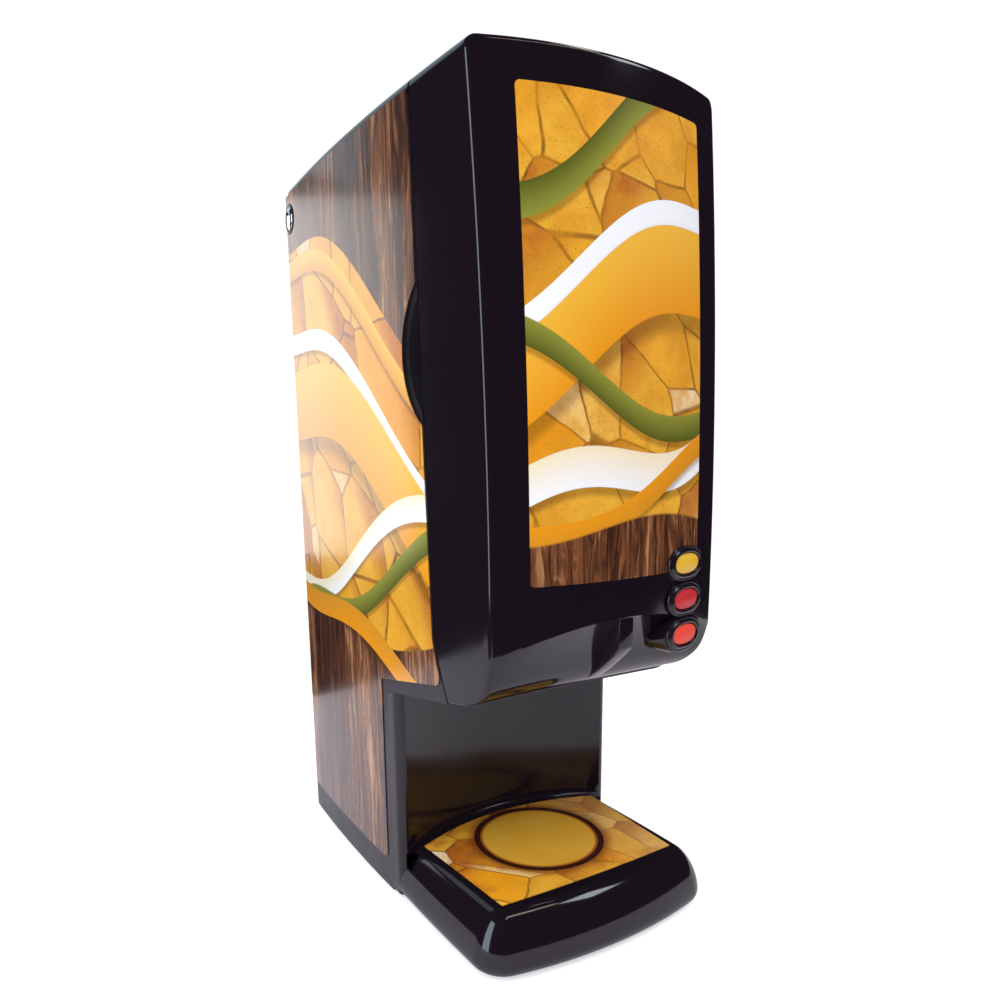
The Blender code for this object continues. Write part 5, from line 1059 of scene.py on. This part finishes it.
def make_side_films():
    foot_z = FOOT_HEIGHT + FILM_FOOT_MARGIN
    rear_y, top_z = REAR_Y - FILM_REAR_MARGIN, TOP_Z - FILM_TOP_MARGIN
    low_z = SEAM_FOOT_Z + FILM_HEAD_MARGIN
    front = seam_line(SEAM_GAP + FILM_SEAM_MARGIN, low_z + FILM_ROUND, top_z)
    head_corner = arc((front[0][0] + FILM_ROUND, low_z + FILM_ROUND), FILM_ROUND, 180, 270, 8)
    neck_y = NECK_SEAM_Y + FILM_NECK_MARGIN
    foot_corner = arc((neck_y + FILM_ROUND, foot_z + FILM_ROUND), FILM_ROUND, 180, 270, 8)
    outline = [
        (rear_y, foot_z),
        (rear_y, top_z),
        *reversed(front[1:]),
        *head_corner,
        (neck_y, head_z(neck_y) + FILM_HEAD_MARGIN),
        *foot_corner,
    ]
    for side, name in SIDES:
        film = side_sheet(name + "_film", outline, side, GAP, GAP + FILM)
        reach = side * (HALF_WIDTH + OVERRUN)
        hole, place = SIDE_CAP_RADIUS + FILM, (SIDE_CAP_Y, SIDE_CAP_Z)
        cutters = [rod(name + "_cap_hole", place, hole, min(0, reach), max(0, reach))]
        if side < 0:
            cutters.append(grip_rod("film_notch", GRIP_RADIUS + FILM))
        combine(film, "DIFFERENCE", cutters)
        dress(film, SIDE_ART, "cabinet", "printed_film", name + "_graphic_film")


def make_side_caps():
    """A bright domed cap in a dark washer on each side."""
    lean = math.asin((SIDE_CAP_Y - WIDEST_Y) / SIDE_RADIUS)
    place = Matrix.Translation((side_x(SIDE_CAP_Y), SIDE_CAP_Y, SIDE_CAP_Z)) @ Matrix.Rotation(lean, 4, "Z")
    for side, name in SIDES:
        for piece, profile, material, slot in (
            ("dome", DOME_PROFILE, CHROME, "chrome_trim"),
            ("washer", WASHER_PROFILE, BLACK_TRIM, "black_moulding"),
        ):
            rings = []
            for radius, out in profile:
                rings.append([place @ Vector((out, y, z)) for y, z in arc((0, 0), radius, 0, 360, 48)[:-1]])
            obj = loft(f"{name}_cap_{piece}", rings)
            obj.data.transform(Matrix.Scale(side, 4, (1, 0, 0)))
            if side < 0:
                obj.data.flip_normals()
            stands_for = [name + "_side_cap"] if piece == "dome" else []
            dress(settle(obj, 40), material, "cabinet", slot, *stands_for)


def cover_ring(inset, z, front):
    corner = max(COVER_CORNER_RADIUS - inset, GAP)
    rear = REAR_Y - inset - corner
    half = side_x(rear, inset) - corner
    left = [(-side_x(y, inset), y) for y in steps(front, rear, 40)[:-1]]
    left += arc((-half, rear), corner, 180, 90, 10)
    return level(left + [(-x, y) for x, y in reversed(left)], z)


def make_top_cover():
    front = SEAM_TOP_Y + SEAM_GAP
    rings = [cover_ring(0, TOP_Z - COVER_DEPTH, front)]
    for across, down in quarter(12):
        rings.append(cover_ring(COVER_ROUND * across, TOP_Z - COVER_ROUND * down, front))
    cover = settle(loft("cover", rings))
    depths = steps(REAR_Y - WALL, front + WALL, 24)
    plan = [(-side_x(y, WALL), y) for y in depths]
    plan += [(-x, y) for x, y in reversed(plan)]
    hollow = prism("cover_hollow", [plan], TOP_Z - COVER_DEPTH - OVERRUN, TOP_Z - WALL, "Z")
    combine(cover, "DIFFERENCE", [hollow])
    dress(cover, BLACK, "cabinet", "black_moulding", "top_cover")


# Foot and neck


def base_side_x(y, inset=0.0):
    forward_share = max(0.0, (NECK_SEAM_Y - y) / (NECK_SEAM_Y - BASE_FRONT_Y))
    return side_x(y, inset) + BASE_FLARE * forward_share


def base_outline(inset, rear_y):
    """The foot's plan: flared sides, round front corners and a bowed front, drawn in by an inset."""
    corner_y = BASE_FRONT_Y + BASE_CORNER_RADIUS
    centre_y = BASE_FRONT_Y + BASE_FRONT_RADIUS
    for _ in range(4):
        corner_x = base_side_x(corner_y) - BASE_CORNER_RADIUS
        corner_y = centre_y - math.sqrt((BASE_FRONT_RADIUS - BASE_CORNER_RADIUS) ** 2 - corner_x**2)
    lean = math.degrees(math.atan2(corner_x, centre_y - corner_y))
    left = [(-base_side_x(y, inset), y) for y in steps(rear_y, corner_y, 24)[:-1]]
    right = [(-x, y) for x, y in reversed(left)]
    corner = arc((-corner_x, corner_y), BASE_CORNER_RADIUS - inset, 180, 270 - lean, 20)
    front = arc((0, centre_y), BASE_FRONT_RADIUS - inset, 270 - lean, 270 + lean, 48)[1:-1]
    return left + corner + front + [(-x, y) for x, y in reversed(corner)] + right


def neck_outline(forward, inset, lap):
    """The neck's plan, with its hollow front carried forward and its walls drawn in by an inset."""
    reach = side_x(NECK_SEAM_Y, inset)
    radius = NECK_CORNER_RADIUS - min(inset, NECK_CORNER_RADIUS - GAP)
    half = reach - radius
    front = []
    for x in steps(-half, half, 64):
        bow_share = (x / half) ** 2
        front.append((x, NECK_Y + inset - NECK_BOW * bow_share - forward * (1 - bow_share**2)))
    corner_y = NECK_Y + inset - NECK_BOW + radius
    left = arc((-half, corner_y), radius, 180, 270, 10)[:-1]
    right = arc((half, corner_y), radius, 270, 360, 10)[1:]
    step_y = NECK_SEAM_Y - GAP - inset
    inner = reach - SHEET - GAP
    rear = [(reach, step_y), (inner, step_y), (inner, NECK_SEAM_Y + lap)]
    return left + front + right + rear + [(-x, y) for x, y in reversed(rear)]


def base_rings(rear_y):
    """Rings up the foot's side: curled under at the bottom, rolled over at the rim."""
    profile = [(BASE_TUCK * inward, FOOT_HEIGHT + BASE_TUCK_HEIGHT * up) for up, inward in quarter(8)]
    for angle in steps(0, 90, 20):
        turn = math.radians(angle)
        height = BASE_TOP_Z - BASE_ROUND_DEPTH * (1 - math.sin(turn) ** (2 / BASE_ROUND_POWER))
        profile.append((BASE_ROUND * (1 - max(0.0, math.cos(turn)) ** (2 / BASE_ROUND_POWER)), height))
    return [level(base_outline(drawn, rear_y), z) for drawn, z in profile]


def mat_outline(grow):
    points = []
    for share in steps(-1, 1, 24):
        bow = MAT_FRONT_BOW * (1 - share**2)
        points.append((share * (MAT_FRONT_HALF + grow), MAT_FRONT_Y - grow - bow))
    for share in steps(1, -1, 32):
        bow = MAT_REAR_BOW * (1 - share**2)
        points.append((share * (MAT_REAR_HALF + grow), MAT_REAR_Y + grow + bow))
    return points


def make_base():
    rear_y = NECK_SEAM_Y - GAP
    base = settle(loft("base", base_rings(rear_y)))
    top = SEAM_FOOT_Z + OVERRUN
    rings = [level(neck_outline(NECK_COVE, 0, NECK_LAP), FOOT_HEIGHT + SHEET + 2 * GAP)]
    for up, forward in quarter(10):
        rings.append(level(neck_outline(NECK_COVE * forward, 0, NECK_LAP), BASE_TOP_Z + NECK_COVE * up))
    rings.append(level(neck_outline(0, 0, NECK_LAP), top))
    neck = settle(loft("neck", rings))
    inner_half = side_x(NECK_SEAM_Y, WALL + SHEET + GAP)
    reach, rear = HALF_WIDTH + OVERRUN, NECK_SEAM_Y + NECK_LAP + OVERRUN
    slope = [
        (rear, head_z(rear) - GAP),
        (rear, TOP_Z),
        (SEAM_FOOT_Y, TOP_Z),
        (SEAM_FOOT_Y, SEAM_FOOT_Z - GAP),
    ]
    base_hollow = base_outline(BASE_ROUND + WALL, rear_y - WALL)
    neck_hollow = neck_outline(0, WALL, NECK_LAP + OVERRUN)
    junction_low = (-inner_half, NECK_Y - NECK_BOW - NECK_COVE, -OVERRUN)
    cutters = [
        prism("base_hollow", [base_hollow], -OVERRUN, BASE_TOP_Z - WALL - MAT_RECESS, "Z"),
        prism("neck_hollow", [neck_hollow], -OVERRUN, top + OVERRUN, "Z"),
        box("base_junction", junction_low, (inner_half, rear, BASE_TOP_Z - 2 * WALL)),
        prism("above_neck", [slope], -reach, reach, "X"),
        prism("mat_recess", [mat_outline(GAP)], BASE_TOP_Z - MAT_RECESS, BASE_TOP_Z + OVERRUN, "Z"),
    ]
    combine(base, "UNION", [neck])
    combine(base, "DIFFERENCE", cutters)
    dress(base, FOOT_BLACK, "cabinet", "black_moulding", "base_housing")
    plan = base_outline(BASE_TUCK + WALL, REAR_Y - SHEET - GAP)
    plate = soften(prism("base_plate", [plan], FOOT_HEIGHT, FOOT_HEIGHT + SHEET, "Z"), GAP, 2)
    dress(plate, PLATED, "cabinet", "plated_steel", "bottom_plate")


def make_mat():
    low = BASE_TOP_Z - MAT_RECESS + GAP
    mat = soften(prism("mat", [mat_outline(0)], low, low + MAT_THICKNESS, "Z"), GAP, 2)
    dress(mat, MAT_ART, "cabinet", "printed_film", "tray_mat")


# Surroundings


# Name, place, target, width, height, power, seen in gloss, colour
LAMPS = (
    ("key", (-1.5, -1.7, 2.1), (0, 0, 0.35), 1.6, 1.6, 40, False, (1, 1, 1)),
    ("fill", (1.9, -1.3, 1.5), (0, 0, 0.35), 1.4, 1.4, 15, False, (1, 1, 1)),
    ("overhead", (-0.2, 0.2, 2.4), (0, 0, 0), 1.2, 1.2, 10, False, (1, 1, 1)),
    ("rim", (-0.95, 2.2, 0.65), (0, 0, 0.4), 1.1, 1.3, 7, True, (1, 1, 1)),
    ("high_card", (-0.05, 2.15, 2.15), (0, 0, 0.6), 2.7, 1.6, 11, True, (0.7, 0.9, 1.0)),
    ("left_card", (-1.7, -0.25, 0.75), (0, 0, 0.4), 0.7, 1.6, 18, True, (0.72, 0.87, 1.0)),
    ("cove_card", (1.3, -1.15, 2.0), (0, -0.05, 0.06), 0.5, 0.5, 6, True, (0.85, 0.93, 1.0)),
    ("edge_card", (0.85, -0.1, 2.2), (0, -0.15, 0.68), 0.7, 0.2, 2.5, True, (1, 1, 1)),
    ("strip_card", (0.42, -1.16, 2.0), (0, -0.19, 0.05), 1.0, 0.10, 2.4, True, (1.0, 0.86, 0.68)),
)
FLOOR_LOW = (-0.95, -0.95, -0.02)
FLOOR_HIGH = (1.3, 0.62, 0)


def make_lamps():
    for name, place, target, width, height, power, seen_in_gloss, colour in LAMPS:
        data = bpy.data.lights.new(name, "AREA")
        data.shape = "RECTANGLE"
        data.size = width
        data.size_y = height
        data.energy = power
        data.color = colour
        obj = add(name, data)
        obj.location = place
        obj.rotation_euler = (Vector(target) - obj.location).to_track_quat("-Z", "Y").to_euler()
        obj.visible_glossy = seen_in_gloss


def make_floor():
    """Pale paper, which the camera sees lighter than the gloss surfaces do."""
    floor = box("floor", FLOOR_LOW, FLOOR_HIGH)
    paper = Paint("floor_paper", (0.86, 0.86, 0.87), 0.7)
    paper.set("Base Color", paper.mix(paper.noise(3.0, 2.0), (0.82, 0.76, 0.82), (0.85, 0.79, 0.85)))
    path = paper.node("LightPath")
    paper.set("Emission Color", (1.0, 1.0, 1.0))
    paper.set("Emission Strength", paper.times(path.outputs["Is Camera Ray"], 0.5))
    floor.data.materials.append(paper.material)


def make_room():
    """A pale room to light by, dark in gloss surfaces and white behind the object."""
    world = bpy.data.worlds.new("studio")
    bpy.context.scene.world = world
    world.use_nodes = True
    nodes, links = world.node_tree.nodes, world.node_tree.links
    nodes.clear()
    path = nodes.new("ShaderNodeLightPath")

    def background(colour, strength):
        node = nodes.new("ShaderNodeBackground")
        node.inputs["Color"].default_value = (*colour, 1.0)
        node.inputs["Strength"].default_value = strength
        return node.outputs[0]

    def choose(ray, other, this):
        node = nodes.new("ShaderNodeMixShader")
        links.new(path.outputs[ray], node.inputs[0])
        links.new(other, node.inputs[1])
        links.new(this, node.inputs[2])
        return node.outputs[0]

    room = background((0.95, 0.97, 1.0), 0.5)
    in_gloss = background((0.75, 0.45, 0.85), 0.03)
    behind = background((1, 1, 1), 1.05)
    out = nodes.new("ShaderNodeOutputWorld")
    links.new(choose("Is Camera Ray", choose("Is Glossy Ray", room, in_gloss), behind), out.inputs[0])


def make_surroundings():
    make_floor()
    make_room()
    make_lamps()
    settings = bpy.context.scene.view_settings
    settings.view_transform = "Standard"
    settings.look = "None"


# The photo's viewpoint
CAMERA_PLACE = (-0.41198, -0.63819, 0.41916)
CAMERA_YAW = 0.5116
CAMERA_PITCH = 0.1886
CAMERA_ROLL = -0.0218
LENS = 28.141
SHIFT_X = 0.0596
SHIFT_Y = 0.0963


def make_camera():
    ahead_flat = Vector((math.sin(CAMERA_YAW), math.cos(CAMERA_YAW), 0))
    right = Vector((math.cos(CAMERA_YAW), -math.sin(CAMERA_YAW), 0))
    ahead = ahead_flat * math.cos(CAMERA_PITCH) - Vector((0, 0, math.sin(CAMERA_PITCH)))
    up = ahead_flat * math.sin(CAMERA_PITCH) + Vector((0, 0, math.cos(CAMERA_PITCH)))
    across = right * math.cos(CAMERA_ROLL) + up * math.sin(CAMERA_ROLL)
    upward = up * math.cos(CAMERA_ROLL) - right * math.sin(CAMERA_ROLL)
    data = bpy.data.cameras.new("camera")
    data.lens = LENS
    data.shift_x = SHIFT_X
    data.shift_y = SHIFT_Y
    data.clip_start = 0.01
    camera = add("camera", data)
    turn = Matrix((across, upward, -ahead)).transposed().to_4x4()
    camera.matrix_world = Matrix.Translation(CAMERA_PLACE) @ turn
    bpy.context.scene.camera = camera


paint_solids()
make_door_shell()
make_nose()
make_button_pad(button_frames()["orange"])
make_buttons()
make_window()
make_side_films()
make_side_caps()
make_top_cover()
make_base()
make_mat()
make_surroundings()
make_camera()
